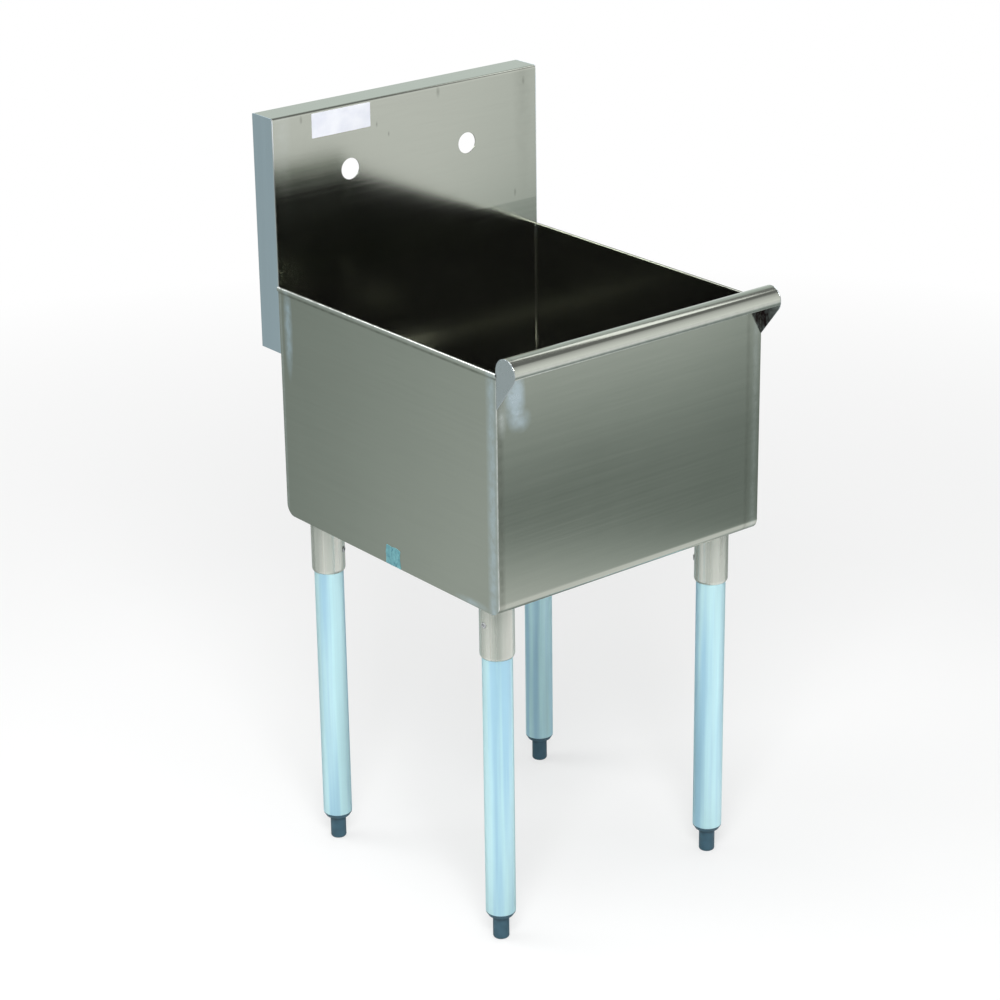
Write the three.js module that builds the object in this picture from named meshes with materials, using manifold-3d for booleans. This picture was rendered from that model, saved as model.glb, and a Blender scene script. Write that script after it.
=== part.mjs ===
// Utility laundry sink: one deep, square compartment folded from stainless sheet, with a raised
// backsplash and a rolled front rim, on four galvanised tube legs with screw feet.
// Units are millimetres and +Z is up. The front faces -Y and the backsplash stands at +Y.
// The origin lies on the floor, under the middle of the whole sink.

import * as THREE from "three";
import { mergeVertices } from "three/addons/utils/BufferGeometryUtils.js";
import Module from "manifold-3d";

const wasm = await Module();
wasm.setup();

// ---------------------------------------------------------------- driving dimensions

// Sheet metal
const sheet = 1.2; // thickness of the stainless sheet
const weldGap = 0.2; // clearance at welded, clamped and stuck faces

// Compartment
const tubWidth = 457; // over the outside of the side panels
const tubDepth = 471.2; // over the outside of the front and back panels
const rimHeight = 840; // floor to the top of the side rims
const bowlDepth = 333; // side rims down to the bowl floor
const floorBend = 16; // outside radius of the two bends along the bowl floor
const hemRadius = 0.6; // inside radius of the hem along each side rim
const hemLength = 4.2; // straight leaf of that hem

// Rolled front rim
const rollRadius = 19.05; // outside radius of the roll
const rollLift = 4; // roll centre above the side rims
const rollWrap = THREE.MathUtils.degToRad(193); // how far the sheet curls round
const rollCapDrop = 49; // tip of the teardrop end cap below the side rims

// Backsplash
const backsplashRise = 233; // side rims up to the top of the backsplash
const backsplashThickness = 47.4; // visible face to the wall
const backsplashDrop = 97; // end caps' reach below the side rims
const backsplashBend = 4; // outside radius of the bends along its top
const returnLip = 12; // turned-down lip along the wall
const capFlange = 12; // turned-in flange of each end cap, along the wall
const faucetSpacing = 203.2; // between the centres of the two faucet holes
const faucetHoleRadius = 15;
const faucetHoleRise = 142; // faucet holes above the side rims

// Legs
const legInsetSide = 37.1; // leg axis inside the tub's side
const legInsetFront = 51.2; // leg axis behind the tub's front
const legInsetBack = 42.1; // leg axis in front of the tub's back
const tubeRadius = 20.65;
const tubeWall = 1.5;
const tubeEndHeight = 42; // floor to the open lower end of a leg tube
const tubeTopClearance = 1; // tube end under the socket's roof

// Leg sockets and the plates that carry them
const legPlateMargin = 7.4; // plate beyond the socket on every side
const legPlateThickness = 2.5;
const legPlateChamfer = 20; // cut across the plate's inner corner
const socketLength = 78.5;
const socketWall = 2.6;
const socketRoof = 2.5;
const socketLipRadius = 6; // rounding of the lower edge
const socketClearance = 0.35; // between the socket's bore and the tube
const socketScrewRadius = 4;
const socketScrewProud = 1.4; // how far the screw stands out of the socket
const socketScrewClearance = 0.3;
const socketScrewKey = 4; // across the flats of its hexagon recess
const socketScrewKeyDepth = 2;

// Screw feet
const insertClearance = 0.2; // between the insert and the tube's bore
const insertLength = 40; // plug inside the tube
const insertLip = 1; // thickness of the lip under the tube end
const insertCollarHeight = 6.5; // lip and cone below the tube end
const insertCollarTaper = 3.45; // how much the cone narrows below the tube
const footRadius = 11.2;
const footEdge = 3; // rounding of the foot's lower edge
const footStop = 0.3; // between the foot's shoulder and the insert when it is screwed right in
const studRadius = 8;
const studClearance = 0.3; // between the foot's screw and its insert
const studEngagement = 42; // length of screw inside the insert when it is screwed right in

// Basket strainer in the bowl floor
const drainCupRadius = 43;
const drainHoleClearance = 1.5; // between the cup and the hole in the bowl floor
const drainWall = 1.5;
const drainFlangeWidth = 14; // flange beyond the cup
const drainMouthDepth = 8; // height of the tapered mouth
const drainCupDepth = 42; // flange top to the underside of the cup
const outletRadius = 24.15; // one-and-a-half-inch male pipe thread
const outletWall = 4.15;
const outletLength = 22;
const gasketThickness = 3;
const gasketInset = 1; // gasket's edge inside the flange's edge
const frictionWasherThickness = 0.8;
const locknutWidth = 10; // locknut beyond the cup
const locknutThickness = 9;
const locknutClearance = 0.4;
const locknutLugs = 8;
const locknutLugDepth = 3;
const basketClearance = 5.5; // between the basket's wall and the strainer's bore
const basketWall = 1;
const basketRimClearance = 1; // between the basket's turned-out rim and the strainer's bore
const basketDepth = 25;
const basketHoleRadius = 2.4;
const basketHoleRings = [
  { inset: 22, count: 8 },
  { inset: 12, count: 14 },
]; // each ring's distance inside the basket's wall
const basketSeat = 0.3; // clearance under the stopper
const stopperOverlap = 7; // stopper's edge beyond the outlet's bore
const stopperThickness = 5;
const postRadius = 3;
const knobRadius = 9;
const knobThickness = 4;
const knobHeight = 5; // top of the knob above the drain flange

// Sticker on the backsplash and scrap of shipping film on the left side
const stickerWidth = 98;
const stickerHeight = 34;
const stickerThickness = 0.2;
const stickerInset = 64.8; // its left edge from the backsplash's left end
const stickerTopMargin = 3.8; // its top edge under the top of the backsplash
const filmWidth = 33;
const filmHeight = 28;
const filmThickness = 0.15;
const filmFromFront = 208.5; // its front edge behind the tub's front

// Roundness of arcs and circles
const stepsPerTurn = 32;
const stepsPerSmallTurn = 12;
const smallRadius = 6; // arcs up to this radius count as small

// ---------------------------------------------------------------- places worked out from them

const underZ = rimHeight - bowlDepth - sheet; // underside of the bowl floor
const bowlFloorZ = rimHeight - bowlDepth;
const rollCentreZ = rimHeight + rollLift;
const backsplashTopZ = rimHeight + backsplashRise;
const backsplashFootZ = rimHeight - backsplashDrop;
const faucetHoleZ = rimHeight + faucetHoleRise;

const rollProjection = 2 * rollRadius - sheet; // roll in front of the tub's front panel
const overallDepth = rollProjection + tubDepth - sheet + backsplashThickness;
const frontY = rollProjection - overallDepth / 2; // outside of the front panel
const backY = frontY + tubDepth; // outside of the back panel
const splashFaceY = backY - sheet; // visible face of the backsplash
const wallY = splashFaceY + backsplashThickness;
const rollCentreY = frontY + sheet - rollRadius;
const drainY = (frontY + backY) / 2;

const sideX = tubWidth / 2; // outside of the right side panel
const panelInsideX = sideX - sheet;
const sheetEndX = panelInsideX - weldGap; // end of the long folded sheet

const plateTopZ = underZ - weldGap;
const plateUnderZ = plateTopZ - legPlateThickness;
const socketTopZ = plateUnderZ - weldGap;
const socketBottomZ = socketTopZ - socketLength;
const socketBore = tubeRadius + socketClearance;
const socketRadius = socketBore + socketWall;
const legPlateSize = 2 * (socketRadius + legPlateMargin);
const tubeTopZ = socketTopZ - socketRoof - tubeTopClearance;
const tubeBore = tubeRadius - tubeWall;
const insertTopZ = tubeEndHeight + insertLength;
const insertBottomZ = tubeEndHeight - insertCollarHeight;
const insertCollarRadius = tubeRadius - insertCollarTaper; // small end of the cone
const studTopZ = insertBottomZ + studEngagement;

const drainFlangeTopZ = bowlFloorZ + weldGap + drainWall;
const drainCupUnderZ = drainFlangeTopZ - drainCupDepth;
const drainCupBore = drainCupRadius - drainWall;
const drainHoleRadius = drainCupRadius + drainHoleClearance;
const drainFlangeRadius = drainCupRadius + drainFlangeWidth;
const outletBore = outletRadius - outletWall;
const outletEndZ = drainCupUnderZ - outletLength;
const gasketTopZ = underZ - weldGap;
const washerTopZ = gasketTopZ - gasketThickness - weldGap;
const locknutTopZ = washerTopZ - frictionWasherThickness - weldGap;
const gasketRadius = drainFlangeRadius - gasketInset;
const locknutRadius = drainCupRadius + locknutWidth;
const basketRadius = drainCupBore - basketClearance; // outside of the basket's wall
const stopperRadius = outletBore + stopperOverlap;

// Each leg: where it stands, which way its set screw faces, and how far the screw lies below the
// underside of the plate.
const legs = [
  { name: "front_left", side: -1, y: frontY + legInsetFront, screwAngle: 184, screwDepth: 28 },
  { name: "front_right", side: 1, y: frontY + legInsetFront, screwAngle: 140, screwDepth: 45 },
  { name: "back_left", side: -1, y: backY - legInsetBack, screwAngle: 301, screwDepth: 45 },
  { name: "back_right", side: 1, y: backY - legInsetBack, screwAngle: 40, screwDepth: 45 },
];

// ---------------------------------------------------------------- materials

function material(color, roughness, metalness) {
  return new THREE.MeshStandardMaterial({ color, roughness, metalness });
}

const brushedStainless = material(0x8e9288, 0.35, 1);
const satinStainless = material(0xbebeb4, 0.4, 1);
const galvanised = material(0xb9dce4, 0.45, 1);
const zincPlate = material(0xb4b8ba, 0.4, 1);
const slatePlastic = material(0x415f6e, 0.5, 0);
const blackRubber = material(0x1c1c1d, 0.8, 0);
const fibre = material(0x9c5a3c, 0.8, 0);
const whiteVinyl = material(0xe8eaec, 0.45, 0);
const tealFilm = material(0x58a0a8, 0.3, 0);

// ---------------------------------------------------------------- solids and outlines

const unitX = new THREE.Vector3(1, 0, 0);
const unitY = new THREE.Vector3(0, 1, 0);
const unitZ = new THREE.Vector3(0, 0, 1);

// A closed geometry as a solid that can be joined and cut.
function toSolid(geometry) {
  const bare = new THREE.BufferGeometry();
  bare.setAttribute("position", geometry.getAttribute("position"));
  bare.setIndex(geometry.getIndex());
  const merged = mergeVertices(bare, 1e-4);
  const index = merged.index.array;
  const kept = [];
  for (let i = 0; i < index.length; i += 3) {
    const [a, b, c] = index.slice(i, i + 3);
    if (a !== b && b !== c && c !== a) kept.push(a, b, c);
  }
  return new wasm.Manifold(
    new wasm.Mesh({
      numProp: 3,
      vertProperties: merged.attributes.position.array,
      triVerts: new Uint32Array(kept),
    }),
  );
}

function toGeometry(solid) {
  const made = solid.getMesh();
  const geometry = new THREE.BufferGeometry();
  geometry.setAttribute("position", new THREE.BufferAttribute(made.vertProperties, 3));
  geometry.setIndex(new THREE.BufferAttribute(made.triVerts, 1));
  geometry.computeVertexNormals();
  return geometry;
}

function cut(solid, ...tools) {
  return tools.reduce((left, tool) => left.subtract(tool), solid);
}

function stepsFor(radius) {
  return radius > smallRadius ? stepsPerTurn : stepsPerSmallTurn;
}

// Points along an arc, both ends included. Angles are in radians, counterclockwise.
function arc(x, y, radius, from, to) {
  const share = Math.abs(to - from) / (2 * Math.PI);
  const steps = Math.max(2, Math.ceil(share * stepsFor(radius)));
  const points = [];
  for (let i = 0; i <= steps; i++) {
    const angle = from + ((to - from) * i) / steps;
    points.push(new THREE.Vector2(x + radius * Math.cos(angle), y + radius * Math.sin(angle)));
  }
  return points;
}

function circle(x, y, radius) {
  return new THREE.Shape(arc(x, y, radius, 0, 2 * Math.PI).slice(0, -1));
}

function rectangle(x0, y0, x1, y1) {
  return new THREE.Shape([
    new THREE.Vector2(x0, y0),
    new THREE.Vector2(x1, y0),
    new THREE.Vector2(x1, y1),
    new THREE.Vector2(x0, y1),
  ]);
}

// A prism of a shape drawn in (y, z), (x, z) or (x, y), between two places on the third axis.
function prismX(shape, from, to) {
  const basis = new THREE.Matrix4().makeBasis(unitY, unitZ, unitX);
  const geometry = new THREE.ExtrudeGeometry(shape, { depth: to - from, bevelEnabled: false });
  return toSolid(geometry.applyMatrix4(basis).translate(from, 0, 0));
}

function prismY(shape, from, to) {
  const basis = new THREE.Matrix4().makeBasis(unitX, unitZ, unitY.clone().negate());
  const geometry = new THREE.ExtrudeGeometry(shape, { depth: to - from, bevelEnabled: false });
  return toSolid(geometry.applyMatrix4(basis).translate(0, to, 0));
}

function prismZ(shape, from, to) {
  const geometry = new THREE.ExtrudeGeometry(shape, { depth: to - from, bevelEnabled: false });
  return toSolid(geometry.translate(0, 0, from));
}

// A solid turned about +Z. The outline is a list of [radius, height] pairs, and closes on itself
// or begins and ends on the axis.
function turned(outline) {
  const points = outline.map(([radius, height]) => new THREE.Vector2(radius, height));
  const ordered = THREE.ShapeUtils.area(points) > 0 ? points : points.reverse();
  const onAxis = ordered.some((point) => point.x === 0);
  const profile = onAxis ? startOnAxis(ordered) : [...ordered, ordered[0]];
  const widest = Math.max(...points.map((point) => point.x));
  return toSolid(new THREE.LatheGeometry(profile, stepsFor(widest)).rotateX(Math.PI / 2));
}

// The same closed outline, begun at the axis point that is left for the wall.
function startOnAxis(points) {
  const count = points.length;
  const start = points.findIndex(
    (point, i) => point.x === 0 && points[(i + 1) % count].x > 0,
  );
  return [...points.slice(start), ...points.slice(0, start)];
}

// Outline of a folded sheet in section. It starts on the sheet's left-hand face. Each move runs
// straight on, or turns with the given inside radius, and a turn to the left is positive.
function foldedSection(start, startHeading, moves) {
  let here = start.clone();
  let heading = startHeading;
  const direction = (angle) => new THREE.Vector2(Math.cos(angle), Math.sin(angle));
  const left = [];
  const right = [];
  const mark = () => {
    left.push(here.clone());
    right.push(here.clone().addScaledVector(direction(heading - Math.PI / 2), sheet));
  };
  mark();
  for (const { forward = 0, turn = 0, radius = 0 } of moves) {
    if (turn === 0) {
      here.addScaledVector(direction(heading), forward);
      mark();
      continue;
    }
    const hand = Math.sign(turn);
    const leftRadius = hand > 0 ? radius : radius + sheet;
    const centre = here.clone().addScaledVector(direction(heading + (hand * Math.PI) / 2), leftRadius);
    const steps = Math.max(2, Math.ceil((Math.abs(turn) / (2 * Math.PI)) * stepsFor(leftRadius)));
    for (let i = 0; i < steps; i++) {
      heading += turn / steps;
      here = centre.clone().addScaledVector(direction(heading - (hand * Math.PI) / 2), leftRadius);
      mark();
    }
  }
  return [...left, ...right.reverse()];
}

const quarterTurn = Math.PI / 2;

// ---------------------------------------------------------------- folded sheet metal

// One sheet makes the rolled rim, the front, the bowl floor, the back and the backsplash.
function bowlAndBacksplash() {
  const lip = new THREE.Vector2(
    rollCentreY + rollRadius * Math.cos(rollWrap),
    rollCentreZ + rollRadius * Math.sin(rollWrap),
  );
  const floorFold = { turn: quarterTurn, radius: floorBend - sheet };
  const topFold = { turn: -quarterTurn, radius: backsplashBend - sheet };
  const section = foldedSection(lip, rollWrap - quarterTurn, [
    { turn: -rollWrap, radius: rollRadius - sheet },
    { forward: rollCentreZ - underZ - floorBend },
    floorFold,
    { forward: tubDepth - 2 * floorBend },
    floorFold,
    { forward: backsplashTopZ - backsplashBend - underZ - floorBend },
    topFold,
    { forward: backsplashThickness - 2 * backsplashBend },
    topFold,
    { forward: returnLip - backsplashBend },
  ]);
  const folded = prismX(new THREE.Shape(section), -sheetEndX, sheetEndX);
  const faucetHoles = [-1, 1].map((side) =>
    prismY(
      circle((side * faucetSpacing) / 2, faucetHoleZ, faucetHoleRadius),
      splashFaceY - sheet,
      backY + sheet,
    ),
  );
  const drainHole = prismZ(circle(0, drainY, drainHoleRadius), underZ - sheet, bowlFloorZ + sheet);
  return cut(folded, ...faucetHoles, drainHole);
}

// Outline of a side panel in (y, z): its lower corners follow the bends of the bowl floor.
function sidePanelOutline() {
  const bendZ = underZ + floorBend;
  return new THREE.Shape([
    ...arc(backY - floorBend, bendZ, floorBend, 0, -quarterTurn),
    ...arc(frontY + floorBend, bendZ, floorBend, -quarterTurn, -2 * quarterTurn),
    new THREE.Vector2(frontY, rimHeight + sheet),
    new THREE.Vector2(backY, rimHeight + sheet),
  ]);
}

// A flat side with its top edge hemmed outwards.
function sidePanel(side) {
  const hemOutside = hemRadius + sheet;
  const section = foldedSection(new THREE.Vector2(panelInsideX, underZ), quarterTurn, [
    { forward: rimHeight - hemOutside - underZ },
    { turn: -2 * quarterTurn, radius: hemRadius },
    { forward: hemLength },
  ]).map((point) => new THREE.Vector2(side * point.x, point.y));
  const hemmed = prismY(new THREE.Shape(section), frontY, backY);
  const reach = sideX + 2 * hemOutside;
  return hemmed.intersect(prismX(sidePanelOutline(), -reach, reach));
}

// The plate that closes one end of the backsplash, with a flange turned in along the wall.
function backsplashEndCap(side) {
  const bend = backsplashBend;
  const outline = new THREE.Shape([
    new THREE.Vector2(backY + weldGap, backsplashFootZ),
    new THREE.Vector2(wallY, backsplashFootZ),
    ...arc(wallY - bend, backsplashTopZ - bend, bend, 0, quarterTurn),
    ...arc(splashFaceY + bend, backsplashTopZ - bend, bend, quarterTurn, 2 * quarterTurn),
    new THREE.Vector2(splashFaceY, rimHeight + weldGap),
    new THREE.Vector2(backY + weldGap, rimHeight + weldGap),
  ]);
  const section = foldedSection(new THREE.Vector2(panelInsideX, splashFaceY - sheet), quarterTurn, [
    { forward: wallY - splashFaceY },
    { turn: quarterTurn, radius: sheet },
    { forward: capFlange - sheet },
  ]);
  const shifted = section.map((point) => new THREE.Vector2(side * point.x, point.y - sheet));
  const folded = prismZ(new THREE.Shape(shifted), backsplashFootZ, backsplashTopZ);
  const reach = sideX + sheet;
  const plate = folded.intersect(prismX(outline, -reach, reach));
  const lipRoom = prismZ(
    rectangle(-panelInsideX, splashFaceY - sheet, panelInsideX, wallY + sheet),
    backsplashTopZ - returnLip - weldGap,
    backsplashTopZ + sheet,
  );
  return cut(plate, lipRoom);
}

// The teardrop plate that closes one end of the roll, with its tip on the tub's front corner.
function rollEndCap(side) {
  const tip = new THREE.Vector2(frontY - weldGap, rimHeight - rollCapDrop);
  const toCentre = new THREE.Vector2(rollCentreY, rollCentreZ).sub(tip);
  const spread = Math.asin(rollRadius / toCentre.length());
  const tangentAngle = toCentre.angle() + spread + quarterTurn;
  const outline = new THREE.Shape([
    tip,
    new THREE.Vector2(frontY - weldGap, rollCentreZ),
    ...arc(rollCentreY, rollCentreZ, rollRadius, 0, tangentAngle),
  ]);
  const inside = side * panelInsideX;
  const outside = side * sideX;
  const plate = prismX(outline, Math.min(inside, outside), Math.max(inside, outside));
  const panelRoom = prismX(
    rectangle(frontY - weldGap, underZ, backY, rimHeight + weldGap),
    -tubWidth,
    tubWidth,
  );
  return cut(plate, panelRoom);
}

// ---------------------------------------------------------------- legs, about each leg's own axis

// Turns a solid about +Z by an angle in degrees.
function spun(solid, degrees) {
  return solid.rotate([0, 0, degrees]);
}

// The plate welded under the bowl floor, with the corner that faces the drain cut off.
function legPlate(side, front) {
  const half = legPlateSize / 2;
  const corner = half - legPlateChamfer;
  const outline = new THREE.Shape(
    [
      [half, half],
      [-half, half],
      [-half, -corner],
      [-corner, -half],
      [half, -half],
    ].map(([x, y]) => new THREE.Vector2(side * x, front * y)),
  );
  return prismZ(outline, plateUnderZ, plateTopZ);
}

function socketScrewBore(angle, centreZ) {
  const radius = socketScrewRadius + socketScrewClearance;
  const bore = prismX(circle(0, centreZ, radius), socketBore - socketWall, socketRadius + socketWall);
  return spun(bore, angle);
}

// A cup that takes the tube from below. Its lower edge curls in until it meets the bore.
function legSocket(angle, screwZ) {
  const curl = Math.acos(1 - socketWall / socketLipRadius);
  const curlZ = socketBottomZ + socketLipRadius * Math.sin(curl);
  const edge = arc(socketRadius - socketLipRadius, curlZ, socketLipRadius, -curl, 0);
  const cup = turned([
    [0, socketTopZ],
    [0, socketTopZ - socketRoof],
    [socketBore, socketTopZ - socketRoof],
    ...edge.map((point) => [point.x, point.y]),
    [socketRadius, socketTopZ],
  ]);
  return cut(cup, socketScrewBore(angle, screwZ));
}

function socketScrew(angle, centreZ) {
  const bevel = 0.6;
  const inner = tubeRadius + weldGap;
  const outer = socketRadius + socketScrewProud;
  const blank = turned([
    [0, inner],
    [socketScrewRadius - bevel, inner],
    [socketScrewRadius, inner + bevel],
    [socketScrewRadius, outer - bevel],
    [socketScrewRadius - bevel, outer],
    [0, outer],
  ]);
  const across = socketScrewKey / 2 / Math.cos(Math.PI / 6);
  const hexagon = new THREE.Shape(
    Array.from({ length: 6 }, (_, i) => {
      const turn = (i * Math.PI) / 3;
      return new THREE.Vector2(across * Math.cos(turn), across * Math.sin(turn));
    }),
  );
  const upright = cut(blank, prismZ(hexagon, outer - socketScrewKeyDepth, outer + bevel));
  return spun(upright.rotate([0, 90, 0]).translate([0, 0, centreZ]), angle);
}

function legTube() {
  return turned([
    [tubeBore, tubeEndHeight],
    [tubeRadius, tubeEndHeight],
    [tubeRadius, tubeTopZ],
    [tubeBore, tubeTopZ],
  ]);
}

// The threaded plug pressed into the tube, with a lip and a cone below the tube's end.
function footInsert() {
  const bore = studRadius + studClearance;
  const plug = tubeBore - insertClearance;
  const lipTopZ = tubeEndHeight - weldGap;
  const lead = 1.5;
  return turned([
    [bore, insertBottomZ],
    [insertCollarRadius, insertBottomZ],
    [tubeRadius - weldGap, lipTopZ - insertLip],
    [tubeRadius - weldGap, lipTopZ],
    [plug, lipTopZ],
    [plug, insertTopZ - lead],
    [plug - lead, insertTopZ],
    [bore, insertTopZ],
  ]);
}

// A round foot whose shoulder stops under the insert, with its screw standing up into it.
function bulletFoot() {
  const lead = 1;
  const edge = arc(footRadius - footEdge, footEdge, footEdge, -quarterTurn, 0);
  const shoulderZ = insertBottomZ - footStop;
  return turned([
    [0, 0],
    ...edge.map((point) => [point.x, point.y]),
    [footRadius, shoulderZ - lead],
    [footRadius - lead, shoulderZ],
    [studRadius, shoulderZ],
    [studRadius, studTopZ - lead],
    [studRadius - lead, studTopZ],
    [0, studTopZ],
  ]);
}

// ---------------------------------------------------------------- basket strainer, about its own axis

function ring(inner, outer, bottom, top) {
  return turned([
    [inner, bottom],
    [outer, bottom],
    [outer, top],
    [inner, top],
  ]);
}

// The cup clamped through the bowl floor: flange, tapered mouth, wall, floor and threaded outlet.
function strainerBody() {
  const mouthZ = drainFlangeTopZ - drainMouthDepth;
  const cupFloorZ = drainCupUnderZ + drainWall;
  return turned([
    [outletBore, outletEndZ],
    [outletRadius, outletEndZ],
    [outletRadius, drainCupUnderZ],
    [drainCupRadius, drainCupUnderZ],
    [drainCupRadius, drainFlangeTopZ - drainWall],
    [drainFlangeRadius, drainFlangeTopZ - drainWall],
    [drainFlangeRadius, drainFlangeTopZ - drainWall / 2],
    [drainFlangeRadius - drainWall / 2, drainFlangeTopZ],
    [drainCupRadius, drainFlangeTopZ],
    [drainCupBore, mouthZ],
    [drainCupBore, cupFloorZ],
    [outletBore, cupFloorZ],
  ]);
}

// A ring nut with lugs round its edge for the spanner.
function strainerLocknut() {
  const blank = ring(
    drainCupRadius + locknutClearance,
    locknutRadius,
    locknutTopZ - locknutThickness,
    locknutTopZ,
  );
  const slots = Array.from({ length: locknutLugs }, (_, i) => {
    const reach = locknutRadius - locknutLugDepth;
    const halfWidth = locknutRadius * Math.sin(Math.PI / locknutLugs / 2);
    const slot = prismZ(
      rectangle(reach, -halfWidth, locknutRadius + locknutLugDepth, halfWidth),
      locknutTopZ - 2 * locknutThickness,
      locknutTopZ - locknutThickness / 3,
    );
    return spun(slot, (i * 360) / locknutLugs);
  });
  return cut(blank, ...slots);
}

const stopperBottomZ = drainCupUnderZ + drainWall + basketSeat;
const stopperTopZ = stopperBottomZ + stopperThickness;
const basketFloorZ = stopperTopZ + weldGap;
const knobTopZ = drainFlangeTopZ + knobHeight;

// The perforated cup. Its rim turns out to just inside the strainer's bore.
function basketCup() {
  const rimZ = basketFloorZ + basketDepth;
  const rimRadius = drainCupBore - basketRimClearance;
  const bore = postRadius + weldGap;
  const cup = turned([
    [bore, basketFloorZ],
    [basketRadius - basketWall, basketFloorZ],
    [basketRadius, basketFloorZ + basketWall],
    [basketRadius, rimZ - basketWall],
    [rimRadius, rimZ - basketWall],
    [rimRadius, rimZ],
    [basketRadius - basketWall, rimZ],
    [basketRadius - basketWall, basketFloorZ + basketWall],
    [bore, basketFloorZ + basketWall],
  ]);
  const holes = basketHoleRings.flatMap(({ inset, count }) =>
    Array.from({ length: count }, (_, i) => {
      const turn = (i * 2 * Math.PI) / count;
      const radius = basketRadius - inset;
      return prismZ(
        circle(radius * Math.cos(turn), radius * Math.sin(turn), basketHoleRadius),
        basketFloorZ - basketWall,
        basketFloorZ + 2 * basketWall,
      );
    }),
  );
  return cut(cup, ...holes);
}

// The post and its knob in one piece, standing on the stopper.
function basketPost() {
  const bevel = 1;
  return turned([
    [0, stopperTopZ + weldGap],
    [postRadius, stopperTopZ + weldGap],
    [postRadius, knobTopZ - knobThickness],
    [knobRadius - bevel, knobTopZ - knobThickness],
    [knobRadius, knobTopZ - knobThickness + bevel],
    [knobRadius, knobTopZ - bevel],
    [knobRadius - bevel, knobTopZ],
    [0, knobTopZ],
  ]);
}

function basketStopper() {
  const bevel = 1.5;
  return turned([
    [0, stopperBottomZ],
    [stopperRadius - bevel, stopperBottomZ],
    [stopperRadius, stopperBottomZ + bevel],
    [stopperRadius, stopperTopZ],
    [0, stopperTopZ],
  ]);
}

// ---------------------------------------------------------------- sticker and film

function blankSticker() {
  const left = -sideX + stickerInset;
  const top = backsplashTopZ - stickerTopMargin;
  return prismY(
    rectangle(left, top - stickerHeight, left + stickerWidth, top),
    splashFaceY - weldGap - stickerThickness,
    splashFaceY - weldGap,
  );
}

function filmScrap() {
  const front = frontY + filmFromFront;
  return prismX(
    rectangle(front, underZ, front + filmWidth, underZ + filmHeight),
    -sideX - weldGap - filmThickness,
    -sideX - weldGap,
  );
}

// ---------------------------------------------------------------- assembly

function part(name, solid, finish) {
  const mesh = new THREE.Mesh(toGeometry(solid), finish);
  mesh.name = name;
  return mesh;
}

function tubAssembly() {
  const tub = new THREE.Group();
  tub.add(part("bowl_and_backsplash_sheet", bowlAndBacksplash(), brushedStainless));
  for (const [hand, side] of [["left", -1], ["right", 1]]) {
    tub.add(part(`${hand}_side_panel`, sidePanel(side), brushedStainless));
    tub.add(part(`${hand}_backsplash_end_cap`, backsplashEndCap(side), brushedStainless));
    tub.add(part(`${hand}_roll_end_cap`, rollEndCap(side), brushedStainless));
  }
  tub.add(part("blank_sticker", blankSticker(), whiteVinyl));
  tub.add(part("shipping_film_scrap", filmScrap(), tealFilm));
  return tub;
}

function legAssembly({ name, side, y, screwAngle, screwDepth }) {
  const leg = new THREE.Group();
  leg.position.set(side * (sideX - legInsetSide), y, 0);
  const front = y < drainY ? -1 : 1;
  const screwZ = plateUnderZ - screwDepth;
  leg.add(part(`${name}_leg_plate`, legPlate(side, front), satinStainless));
  leg.add(part(`${name}_leg_socket`, legSocket(screwAngle, screwZ), satinStainless));
  leg.add(part(`${name}_socket_screw`, socketScrew(screwAngle, screwZ), zincPlate));
  leg.add(part(`${name}_leg_tube`, legTube(), galvanised));
  leg.add(part(`${name}_foot_insert`, footInsert(), slatePlastic));
  leg.add(part(`${name}_bullet_foot`, bulletFoot(), slatePlastic));
  return leg;
}

function drainAssembly() {
  const drain = new THREE.Group();
  drain.position.set(0, drainY, 0);
  const gasketBore = drainCupRadius + weldGap;
  const gasketUnderZ = gasketTopZ - gasketThickness;
  const washerUnderZ = washerTopZ - frictionWasherThickness;
  const gasket = ring(gasketBore, gasketRadius, gasketUnderZ, gasketTopZ);
  const washer = ring(gasketBore, gasketRadius, washerUnderZ, washerTopZ);
  drain.add(part("strainer_body", strainerBody(), satinStainless));
  drain.add(part("strainer_gasket", gasket, blackRubber));
  drain.add(part("strainer_friction_washer", washer, fibre));
  drain.add(part("strainer_locknut", strainerLocknut(), zincPlate));
  drain.add(part("basket_cup", basketCup(), satinStainless));
  drain.add(part("basket_post", basketPost(), satinStainless));
  drain.add(part("basket_stopper", basketStopper(), blackRubber));
  return drain;
}

const sink = new THREE.Group();
sink.name = "utility_laundry_sink";
sink.add(tubAssembly());
sink.add(...legs.map(legAssembly));
sink.add(drainAssembly());

export default sink;
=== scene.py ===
"""A utility laundry sink of brushed stainless sheet on four galvanised legs, dressed for rendering.

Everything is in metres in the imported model's frame: +X to the right of someone who faces the
sink, -Y to its front, +Z up, and the origin on the floor under its middle.
"""

import math

import bmesh
import bpy
from mathutils import Matrix, Vector

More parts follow.
